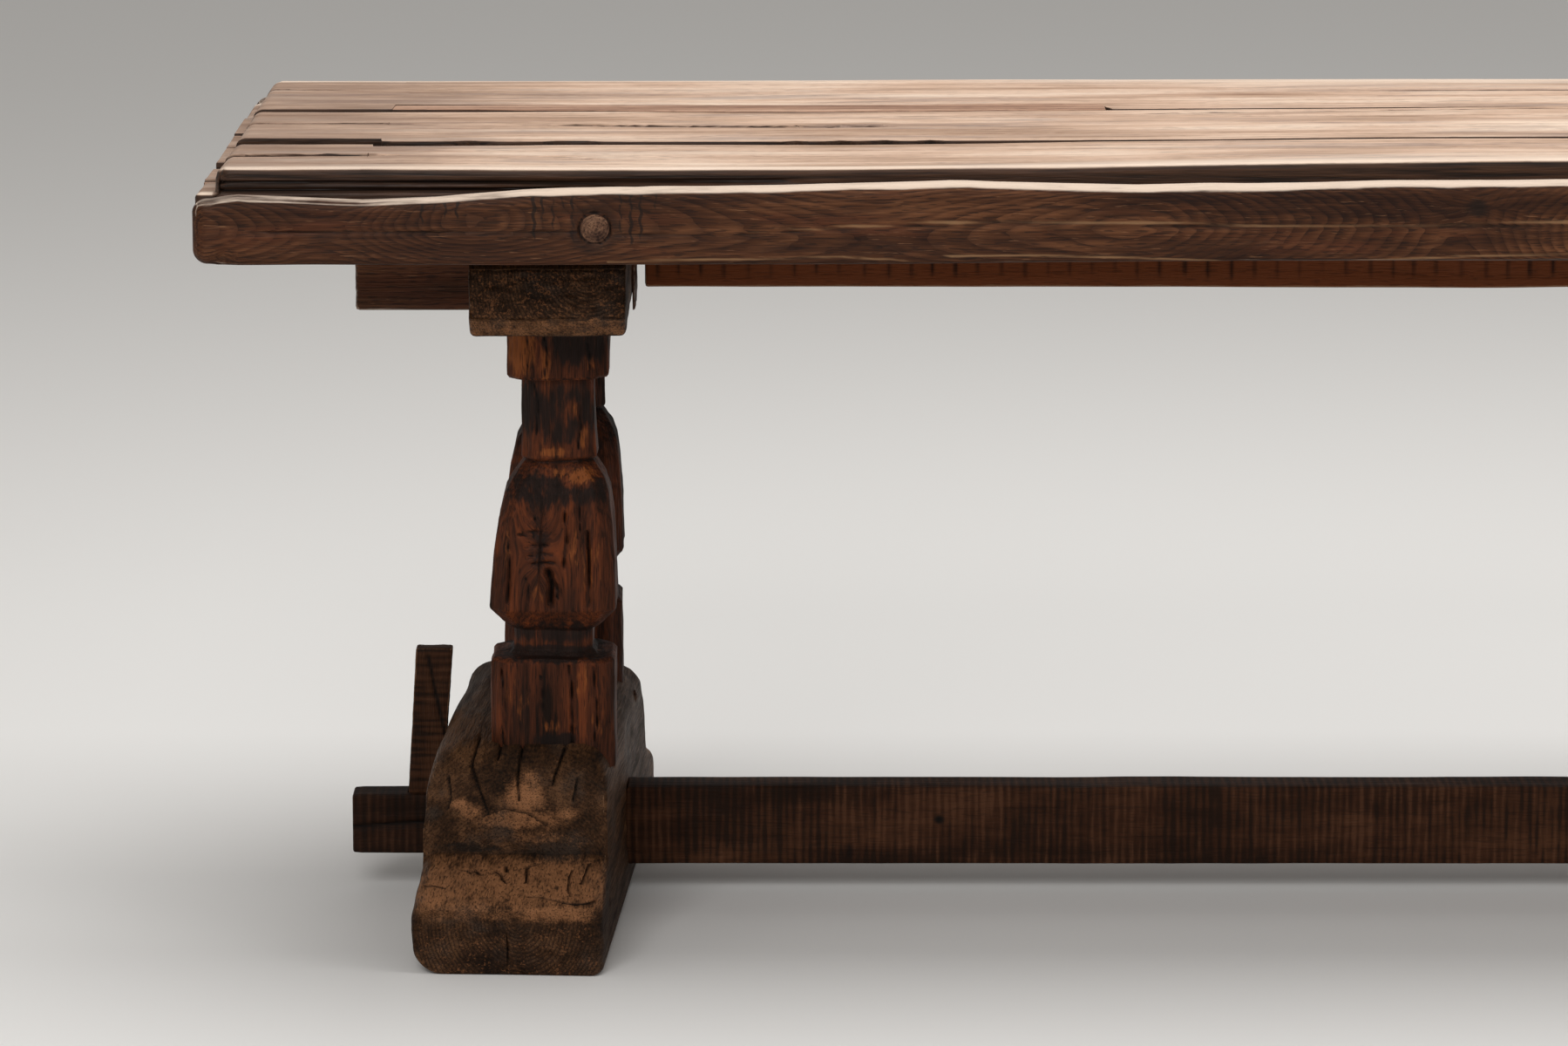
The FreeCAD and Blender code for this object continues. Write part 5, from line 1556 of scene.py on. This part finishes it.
# Splits in the outward face of a post: place across, lower end, upper end, half width, depth
POST_CRACKS = (
    (-0.05, 0.19, 0.268, 0.0026, 0.003), (-0.012, 0.215, 0.262, 0.0018, 0.002),
    (0.017, 0.18, 0.272, 0.0026, 0.0035), (0.041, 0.175, 0.27, 0.0022, 0.003),
    (-0.003, 0.334, 0.366, 0.0048, 0.008), (0.004, 0.34, 0.352, 0.003, 0.004),
    (0.034, 0.332, 0.405, 0.0026, 0.0045), (0.01, 0.37, 0.425, 0.0022, 0.003),
    (-0.045, 0.335, 0.4, 0.0024, 0.003), (-0.026, 0.335, 0.36, 0.0018, 0.002),
    (-0.02, 0.4, 0.425, 0.002, 0.002), (0.024, 0.4, 0.43, 0.002, 0.002),
    (-0.03, 0.558, 0.606, 0.002, 0.002), (-0.012, 0.56, 0.6, 0.002, 0.002),
    (0.03, 0.556, 0.59, 0.002, 0.002), (0.02, 0.485, 0.53, 0.0018, 0.002),
    (-0.022, 0.5, 0.55, 0.0018, 0.0015),
)
# Nicks across the knot in the belly: level, from place, to place
POST_NICKS = (
    (0.404, -0.036, -0.008), (0.392, -0.028, -0.006), (0.383, -0.026, -0.002), (0.375, -0.022, 0.0),
)
# That knot: place across, level
POST_KNOT = (-0.014, 0.385)
# Unevenness that the axe, the fibres and age left: height, size, seed; and what was hewn off all over
HEWING = (
    (0.002, (0.05, 0.05, 0.08), 0), (0.0009, (0.014, 0.014, 0.06), 4), (0.0005, (0.005, 0.005, 0.04), 9),
)
HEWN_OFF = 0.0006
# Places rubbed bare and places blackened: across, level, two radii, strength
POST_RUBS = (
    (-0.036, 0.585, 0.018, 0.03, 0.95), (-0.012, 0.57, 0.008, 0.026, 0.7),
    (0.03, 0.572, 0.01, 0.012, 0.6), (-0.004, 0.482, 0.02, 0.006, 0.8),
    (0.026, 0.495, 0.006, 0.014, 0.75), (0.016, 0.525, 0.007, 0.01, 0.6),
    (-0.02, 0.49, 0.008, 0.012, 0.5), (0.022, 0.458, 0.016, 0.009, 0.95),
    (0.002, 0.462, 0.01, 0.006, 0.7), (0.02, 0.39, 0.012, 0.03, 0.55),
    (0.036, 0.365, 0.014, 0.04, 0.55), (-0.046, 0.38, 0.008, 0.05, 0.5),
    (-0.014, 0.345, 0.014, 0.014, 0.45), (-0.036, 0.24, 0.018, 0.03, 0.5),
    (0.03, 0.25, 0.012, 0.03, 0.55), (0.046, 0.22, 0.01, 0.03, 0.5), (0.0, 0.212, 0.014, 0.008, 0.6),
)
# Blackened places: soot, and painted shade on the plinth top, at the waist and where the plinth meets the
# foot
POST_SOOT = (
    (0.012, 0.592, 0.022, 0.028, 0.9), (0.036, 0.588, 0.016, 0.02, 0.8),
    (-0.014, 0.598, 0.01, 0.014, 0.7), (0.0, 0.52, 0.07, 0.042, 0.72), (0.0, 0.446, 0.075, 0.022, 0.75),
    (-0.03, 0.53, 0.012, 0.03, 0.85), (-0.014, 0.385, 0.012, 0.03, 0.65),
    (0.0, 0.304, 0.07, 0.016, 0.7), (0.0, 0.282, 0.07, 0.008, 1.0), (0.004, 0.198, 0.026, 0.01, 0.9),
)


class REFECTORY_OT_posts(bpy.types.Operator):
    """Build the four baluster posts, hewn, split and rubbed."""

    bl_idname = "refectory.posts"
    bl_label = "Posts"

    def execute(self, context):
        sizes = context.scene.refectory_trestle
        for name, side in SIDES.items():
            for spot, depth in (("front", -1), ("rear", 1)):
                self.post(sizes, name, side, f"{name}_{spot}_post", depth, 60 + 3 * side + depth)
        return {"FINISHED"}

    def post(self, sizes, name, side, node, depth, seed):
        """Build one post from its profile; those of the right trestle are mirrored."""
        low, high = node_box(node)
        rows = post_profile(sizes, sizes.plinth_top - 0.11, node_box(name + "_bearer")[0][2] + 0.001)
        run = np.concatenate([[0], np.cumsum(np.hypot(np.diff(rows[:, 0]), np.diff(rows[:, 1]) / 2))])
        bends = [(place, 0.0012, 0.0008) for place in run[1:-1]]
        piece, flat = grid_box("hewn_" + node, "post", (-1, -1, 0), (1, 1, run[-1]), ((), (), bends))
        level, width, deep, shift = (np.interp(flat[:, 2], run, rows[:, column]) for column in range(4))
        half = np.stack([width / 2, deep / 2], axis=1)
        chamfer = sizes.post_chamfer * (1.15 + 0.3 * along_x(level, 0.06, seed))
        plan = soften(flat[:, :2] * half, -half, half, chamfer, 1.12)
        near = np.exp(-np.sort(half - np.abs(plan), axis=1)[:, 1] / 0.01)
        points = np.stack([plan[:, 0], plan[:, 1], level], axis=1)
        outward = plan / np.maximum(np.linalg.norm(plan, axis=1, keepdims=True), CLOSEST)
        points[:, :2] += outward * self.hewing(points, seed)[:, None]
        points[:, 2] += 0.0011 * ripple(points, (0.025, 0.025, 0.03), seed + 6)
        crack = self.split(sizes, points, plan, level, depth, deep)
        rub = spots(plan[:, 0], level, POST_RUBS) * np.where(plan[:, 1] * depth > 0, 1.0, 0.6)
        # Soot, and painted shade in the hollows, kept off the places rubbed bare below the head
        soot = spots(plan[:, 0], level, POST_SOOT) * np.where(plan[:, 1] * depth > 0, 1.0, 0.8)
        soot *= np.where(level < sizes.abacus_foot, 1 - 0.85 * rub, 1.0)
        points[:, 0] = trestle_x(name) - side * (points[:, 0] + shift)
        points[:, 1] += (low[1] + high[1]) / 2
        write_points(piece, points)
        if side > 0:
            flip_faces(piece)
        grain = grain_along(points, 2, (trestle_x(name) + 0.01, (low[1] + high[1]) / 2 + 0.015, 0), seed)
        beside = plan[:, 0] - POST_KNOT[0]
        knot = np.exp(-((beside / 0.018) ** 2) - ((level - POST_KNOT[1]) / 0.03) ** 2)
        grain[:, 1] += 0.02 * knot * np.sign(beside)
        paint(
            piece,
            grain=grain,
            wear=0.9 * near,
            crack=crack,
            rub=rub,
            soot=soot,
        )
        dress(piece, [node], "base", WOODS["stained_oak"])

    @staticmethod
    def hewing(points, seed):
        """Give the unevenness that the axe, the fibres and age left on a post."""
        return sum(height * rough(points, size, seed + step) for height, size, step in HEWING) - HEWN_OFF

    @staticmethod
    def split(sizes, points, plan, level, depth, deep):
        """Open the splits and nicks of the outward face and give how far in each point lies."""
        crack = 0.7 * np.exp(-(((level - sizes.neck_foot + 0.001) / 0.0025) ** 2))
        face = plan[:, 1] * depth > deep / 2 - 0.004
        for across, start, end, half_width, sink in POST_CRACKS:
            path = [(across, start), (across + 0.0025, (start + end) / 2), (across - 0.001, end)]
            line = groove(plan[:, 0] + 0.0012 * along_x(level, 0.012, 3), level, path, half_width) * face
            points[:, 1] -= depth * sink * line
            crack = np.maximum(crack, line)
        for height, start, end in POST_NICKS:
            path = [(start, height - 0.002), ((start + end) / 2, height + 0.001), (end, height)]
            line = groove(plan[:, 0], level, path, 0.0026) * face
            points[:, 1] -= depth * 0.0025 * line
            crack = np.maximum(crack, 0.8 * line)
        return crack


def flip_faces(piece):
    """Turn a mirrored mesh right side out."""
    pick(piece)
    bpy.ops.object.mode_set(mode="EDIT")
    bpy.ops.mesh.select_all(action="SELECT")
    bpy.ops.mesh.flip_normals()
    bpy.ops.object.mode_set(mode="OBJECT")


# Lean of the sides of a foot, its turn in plan, and the points on each rounded end of its hump
FOOT_DRAFT = math.radians(2)
FOOT_SKEW = math.radians(3)
ARC_POINTS = 14
# Finer grid steps over the rounded ends of the hump and along the toes
HUMP_STEP = 0.0026
TOE_STEP = 0.0018
# Splits in the toe of a foot: across from its middle, along from its middle
TOE_CRACKS = (
    (
        (0.02, -0.327), (0.035, -0.329), (0.045, -0.334), (0.057, -0.338),
        (0.072, -0.341), (0.084, -0.338), (0.092, -0.33),
    ),
    ((0.058, -0.339), (0.082, -0.34)),
    (
        (-0.053, -0.279), (-0.048, -0.278), (-0.044, -0.284),
        (-0.04, -0.278), (-0.035, -0.285), (-0.03, -0.287),
    ),
    ((-0.021, -0.284), (-0.018, -0.279), (-0.012, -0.285), (-0.01, -0.293), (-0.004, -0.3)),
    ((0.062, -0.276), (0.06, -0.294), (0.061, -0.315), (0.064, -0.327)),
    ((0.078, -0.264), (0.076, -0.282), (0.073, -0.303)),
    ((-0.088, -0.309), (-0.076, -0.311), (-0.064, -0.316)),
    ((0.028, -0.263), (0.022, -0.266), (0.015, -0.27), (0.017, -0.3)),
    ((-0.008, -0.268), (-0.006, -0.28)),
)
# Splits in the rounded end of its hump: across, level
HUMP_CRACKS = (
    ((-0.046, 0.196), (-0.05, 0.178), (-0.036, 0.15), (-0.03, 0.138)),
    ((0.004, 0.197), (0.001, 0.17), (0.004, 0.15)),
    ((-0.036, 0.134), (-0.012, 0.142), (0.012, 0.138), (0.034, 0.126)),
    ((0.05, 0.192), (0.042, 0.172), (0.04, 0.164)),
    ((-0.074, 0.17), (-0.07, 0.15), (-0.074, 0.14)),
    ((0.066, 0.17), (0.062, 0.15)),
    ((-0.02, 0.196), (-0.022, 0.184)),
)
# Split in the ends of the toes: across, level
END_CRACK = ((0.004, 0.0), (0.007, 0.022), (0.004, 0.04))
# Half widths of the splits, and where the rounded ends of the hump begin, from its middle
TOE_CRACK_WIDTH = 0.0024
HUMP_CRACK_WIDTH = 0.0026
HUMP_END = 0.165
# Rubbed and dark places on the rounded ends of the hump: across, level, two radii, strength
HUMP_RUBS = (
    (0.008, 0.15, 0.024, 0.02, 0.85), (0.002, 0.13, 0.05, 0.012, 0.75),
    (-0.05, 0.138, 0.016, 0.009, 0.75), (0.054, 0.136, 0.016, 0.007, 0.65),
    (0.02, 0.112, 0.045, 0.008, 0.55), (0.014, 0.166, 0.012, 0.01, 0.7),
    (0.066, 0.11, 0.014, 0.008, 0.5), (-0.06, 0.144, 0.012, 0.006, 0.8),
)
# The lowest dark band is painted shade where the hump meets the toe
HUMP_SOOT = (
    (-0.05, 0.101, 0.05, 0.007, 0.75), (0.07, 0.124, 0.024, 0.014, 0.55), (-0.02, 0.165, 0.012, 0.02, 0.5),
)
# Rubbed and dark places on a toe: across from its middle, along from its middle, two radii, strength
TOE_RUBS = (
    (0.0, -0.305, 0.2, 0.06, 0.78), (-0.075, -0.334, 0.02, 0.016, 0.95),
    (0.055, -0.348, 0.05, 0.006, 0.8), (0.02, -0.308, 0.035, 0.013, 0.85),
    (-0.02, -0.29, 0.012, 0.008, 0.9), (0.07, -0.295, 0.008, 0.02, 0.85),
)
# The dark band at the foot of the hump is painted shade in the crease
TOE_SOOT = (
    (-0.02, -0.334, 0.045, 0.008, 0.55), (0.0, -0.253, 0.1, 0.006, 0.4),
    (0.045, -0.312, 0.006, 0.006, 0.7), (-0.09, -0.275, 0.01, 0.02, 0.5),
)
# How far the toes round off at their ends
TOE_ROUND = 0.014


def toe_marks(flat, along, places):
    """Give the marks of both toes, the back one as the front one turned round."""
    return spots(np.where(along < 0, flat[:, 0], -flat[:, 0]), -np.abs(along), places)


class REFECTORY_OT_feet(bpy.types.Operator):
    """Build the two sled feet, humped, rounded, rough and split."""

    bl_idname = "refectory.feet"
    bl_label = "Feet"

    def execute(self, context):
        sizes = context.scene.refectory_trestle
        for name, side in SIDES.items():
            self.foot(sizes, name, side, 71 + side)
        return {"FINISHED"}

    @staticmethod
    def outline(sizes, height):
        """Give the side outline of half a foot, from the middle of its hump to the end of its toe."""
        flat_end = sizes.hump_length / 2
        turn = np.linspace(0, math.pi / 2, ARC_POINTS)
        arc = np.stack([np.sin(turn), np.cos(turn) - 1], axis=1) * sizes.hump_radius + (flat_end, height)
        step = height - sizes.hump_radius - sizes.step_rise
        tail = [(arc[-1, 0] + 0.002, step), (sizes.foot_length / 2, step - sizes.toe_fall)]
        return np.vstack([[(0, height)], arc, tail])

    def foot(self, sizes, name, side, seed):
        """Build one foot from its side outline; the right one is mirrored."""
        node = name + "_foot"
        outline = self.outline(sizes, node_box(node)[1][2])
        run = np.concatenate([[0], np.cumsum(np.linalg.norm(np.diff(outline, axis=0), axis=1))])
        half = sizes.foot_width / 2
        crease = run[-2]
        dense = []
        for end in (-1, 1):
            dense.append((end * (run[1] + crease) / 2, (crease - run[1]) / 2, HUMP_STEP))
            dense.append((end * (crease + run[-1]) / 2, (run[-1] - crease) / 2, TOE_STEP))
        low, high = (-half, -run[-1], 0), (half, run[-1], 1)
        piece, flat = grid_box("hewn_" + node, "foot", low, high, ((), dense, ()))
        reach = np.abs(flat[:, 1])
        along = np.interp(reach, run, outline[:, 0]) * np.sign(flat[:, 1])
        roof = np.interp(reach, run, outline[:, 1])
        section, edge = self.section(sizes, flat, along, roof, half, seed)
        points = np.stack([section[:, 0], along, section[:, 1]], axis=1)
        ends = reach > run[-1] - CLOSEST
        self.round_ends(sizes, points, roof, ends)
        away = points - np.stack([np.zeros(len(flat)), along * 0.96, roof * 0.5], axis=1)
        away /= np.maximum(np.linalg.norm(away, axis=1, keepdims=True), CLOSEST)
        grounded = smooth(points[:, 2], 0.004, 0.03)
        hew = 0.003 * rough(points, (0.07, 0.11, 0.07), seed)
        hew += 0.0013 * rough(points, (0.018, 0.05, 0.018), seed + 5)
        points += away * (hew * grounded - 0.0012)[:, None]
        points[:, 1] -= ends * np.sign(along) * 0.0026 * (1 + rough(points, (0.01, 1.0, 0.008), seed + 8))
        above = flat[:, 2] > 1 - CLOSEST
        crack = self.split(points, flat, along, above, ends, crease)
        points -= away * (0.005 * crack)[:, None]
        fold = np.exp(-((np.abs(reach - crease) / 0.004) ** 2)) * above
        fold *= 0.6 + 0.4 * along_x(flat[:, 0], 0.03, seed + 11)
        points[:, 1] += np.sign(along) * 0.003 * fold * along_x(flat[:, 0], 0.04, seed + 12)
        points[:, 2] = np.maximum(points[:, 2], 0)
        front = above & (reach < crease) & (reach > run[1])
        toe = smooth(flat[:, 2], 0.72, 1.0) * (reach > crease)
        rub = spots(flat[:, 0], points[:, 2], HUMP_RUBS) * front
        rub = np.maximum(rub, toe_marks(flat, along, TOE_RUBS) * toe)
        soot = spots(flat[:, 0], points[:, 2], HUMP_SOOT) * front
        soot = np.maximum(soot, toe_marks(flat, along, TOE_SOOT) * toe)
        grain = grain_along(points, 1, (0.012, 0, 0.05), seed)
        write_points(piece, self.placed(sizes, points, name, side, half))
        if side > 0:
            flip_faces(piece)
        # Painted shade darkens the crease between toe and hump; the ends and the flat top of the hump are
        # darkened too
        paint(
            piece,
            grain=grain,
            wear=0.85 * edge * grounded,
            crack=np.maximum(crack, 0.7 * fold),
            rub=rub,
            soot=np.maximum(soot, 0.6 * fold + 0.1 * ends + 0.35 * (reach < run[1]) * above),
            cut=0.9 * ends * (1 - 0.8 * rub),
        )
        dress(piece, [node], "base", WOODS["weathered_oak"])

    @staticmethod
    def section(sizes, flat, along, roof, half, seed):
        """Round the section of a foot: a crown above, a wane at the lower outboard edge."""
        section = np.stack([flat[:, 0], flat[:, 2] * roof], axis=1)
        low = np.stack([np.full(len(flat), -half), np.zeros(len(flat))], axis=1)
        high = np.stack([np.full(len(flat), half), roof], axis=1)
        hump_end = sizes.hump_length / 2 + sizes.hump_radius
        hump = smooth(-np.abs(along), -hump_end, -sizes.hump_length / 2)
        outboard = flat[:, 0] < 0
        toe_round = np.where(outboard, 0.019, 0.013) * (1 + 0.3 * along_x(along, 0.05, seed))
        upper = toe_round + (sizes.foot_crown + 0.004 - toe_round) * hump
        lower = np.where(outboard, sizes.foot_wane, 0.009)
        radius = np.minimum(np.where(flat[:, 2] > 0.5, upper, lower), roof * 0.45)
        edge = np.exp(-np.sort(np.minimum(section - low, high - section), axis=1)[:, 1] / 0.01)
        return soften(section, low, high, radius), edge

    @staticmethod
    def round_ends(sizes, points, roof, ends):
        """Round the ends of a foot into its toes."""
        span = sizes.foot_length / 2
        tip = np.clip((np.abs(points[:, 1]) - span + TOE_ROUND) / TOE_ROUND, 0, 1)
        pull = 1 - np.sqrt(np.maximum(1 - tip ** 2, 0))
        share = np.where(ends, 1.0, pull)
        middle = roof * 0.45
        points[:, 0] -= np.sign(points[:, 0]) * np.minimum(0.006 * share, np.abs(points[:, 0]))
        drop = np.clip((points[:, 2] - middle) / np.maximum(roof - middle, CLOSEST), 0, 1)
        points[:, 2] -= 0.6 * TOE_ROUND * share * drop

    @staticmethod
    def split(points, flat, along, above, ends, crease):
        """Give how far each point lies in the splits of the toes, the hump and the ends."""
        crack = np.zeros(len(points))
        reach = np.abs(flat[:, 1])
        toe = above & (reach > crease)
        for path in TOE_CRACKS:
            crack = np.maximum(crack, groove(flat[:, 0], -np.abs(along), path, TOE_CRACK_WIDTH) * toe)
        front = above & (reach < crease) & (np.abs(along) > HUMP_END)
        for path in HUMP_CRACKS:
            crack = np.maximum(crack, groove(flat[:, 0], points[:, 2], path, HUMP_CRACK_WIDTH) * front)
        return np.maximum(crack, groove(flat[:, 0], points[:, 2], END_CRACK, TOE_CRACK_WIDTH) * ends)

    @staticmethod
    def placed(sizes, points, name, side, half):
        """Lean the sides of a foot in, skew it in plan and set it under its trestle."""
        across = points[:, 0] * (1 - points[:, 2] * math.tan(FOOT_DRAFT) / half)
        along = points[:, 1]
        x = across * math.cos(FOOT_SKEW) + along * math.sin(FOOT_SKEW) - sizes.foot_offset
        y = along * math.cos(FOOT_SKEW) - across * math.sin(FOOT_SKEW)
        return np.stack([trestle_x(name) - side * x, y, points[:, 2]], axis=1)


# Stage, light and camera

# Camera, solved from the lines of the table: place, tilt, lens and sensor
CAMERA_PLACE = (-0.6947, -6.4591, 1.631)
CAMERA_TILT = math.radians(79.01)
CAMERA_LENS = 150.25
CAMERA_SENSOR = 36.0
# Soft lamps: name, place, turn, size and power
LAMPS = (
    ("overhead", (0.5, 0.5, 4.0), (0.0, 0.0, 0.0), (5.0, 3.0), 120.0),
    ("front_fill", (-1.9, -4.6, 3.3), (math.radians(56), 0.0, math.radians(-20)), (2.6, 2.0), 100.0),
    ("side_fill", (4.6, -2.4, 2.6), (math.radians(64), 0.0, math.radians(60)), (2.4, 2.0), 45.0),
)
# Light from all round, and the width of the floor
WORLD_COLOUR = (1.0, 0.98, 0.95, 1.0)
WORLD_STRENGTH = 0.37
FLOOR_SIZE = 60


class REFECTORY_OT_stage(bpy.types.Operator):
    """Set up the pale floor, the soft lamps and the camera."""

    bl_idname = "refectory.stage"
    bl_label = "Stage"

    def execute(self, context):
        colours = context.scene.refectory_colours
        bpy.ops.object.select_all(action="DESELECT")
        bpy.ops.mesh.primitive_plane_add(size=FLOOR_SIZE)
        floor = context.object
        floor.name = "floor"
        paper = bpy.data.materials.new("studio_paper")
        paper.use_nodes = True
        surface = paper.node_tree.nodes["Principled BSDF"]
        surface.inputs["Base Color"].default_value = colours.floor
        surface.inputs["Roughness"].default_value = 0.7
        floor.data.materials.append(paper)
        for name, place, turn, size, power in LAMPS:
            bpy.ops.object.light_add(type="AREA", location=place, rotation=turn)
            lamp = context.object
            lamp.name = name
            lamp.data.shape = "RECTANGLE"
            lamp.data.size, lamp.data.size_y = size
            lamp.data.energy = power
        world = bpy.data.worlds.new("studio")
        world.use_nodes = True
        sky = world.node_tree.nodes["Background"]
        sky.inputs["Color"].default_value = WORLD_COLOUR
        sky.inputs["Strength"].default_value = WORLD_STRENGTH
        context.scene.world = world
        bpy.ops.object.camera_add(location=CAMERA_PLACE, rotation=(CAMERA_TILT, 0.0, 0.0))
        camera = context.object
        camera.data.lens = CAMERA_LENS
        camera.data.sensor_fit = "HORIZONTAL"
        camera.data.sensor_width = CAMERA_SENSOR
        context.scene.camera = camera
        context.scene.view_settings.view_transform = "Standard"
        return {"FINISHED"}


class REFECTORY_PT_panel(bpy.types.Panel):
    """Lists the steps that dress the table."""

    bl_idname = "REFECTORY_PT_panel"
    bl_label = "Refectory table"
    bl_space_type = "VIEW_3D"
    bl_region_type = "UI"
    bl_category = "Refectory"

    def draw(self, context):
        for operator in OPERATORS:
            self.layout.operator(operator.bl_idname)
        for name in GROUPS:
            group = getattr(context.scene, name)
            for key in group.__annotations__:
                self.layout.prop(group, key)


OPERATORS = (
    REFECTORY_OT_planks,
    REFECTORY_OT_slip,
    REFECTORY_OT_rails,
    REFECTORY_OT_pegs,
    REFECTORY_OT_beams,
    REFECTORY_OT_wedges,
    REFECTORY_OT_bearers,
    REFECTORY_OT_posts,
    REFECTORY_OT_feet,
    REFECTORY_OT_stage,
)
GROUPS = {
    "refectory_top": TopSizes,
    "refectory_trestle": TrestleSizes,
    "refectory_colours": WoodColours,
}
CLASSES = (*GROUPS.values(), *OPERATORS, REFECTORY_PT_panel)


def register():
    """Register the classes and hang the sizes and colours on the scene."""
    for entry in CLASSES:
        bpy.utils.register_class(entry)
    for name, group in GROUPS.items():
        setattr(bpy.types.Scene, name, bpy.props.PointerProperty(type=group))


def unregister():
    """Take the classes away again."""
    for name in GROUPS:
        delattr(bpy.types.Scene, name)
    for entry in reversed(CLASSES):
        bpy.utils.unregister_class(entry)


def main():
    """Dress the table step by step."""
    register()
    make_woods(bpy.context.scene.refectory_colours)
    for operator in OPERATORS:
        family, step = operator.bl_idname.split(".")
        getattr(getattr(bpy.ops, family), step)()


if __name__ == "__main__":
    main()
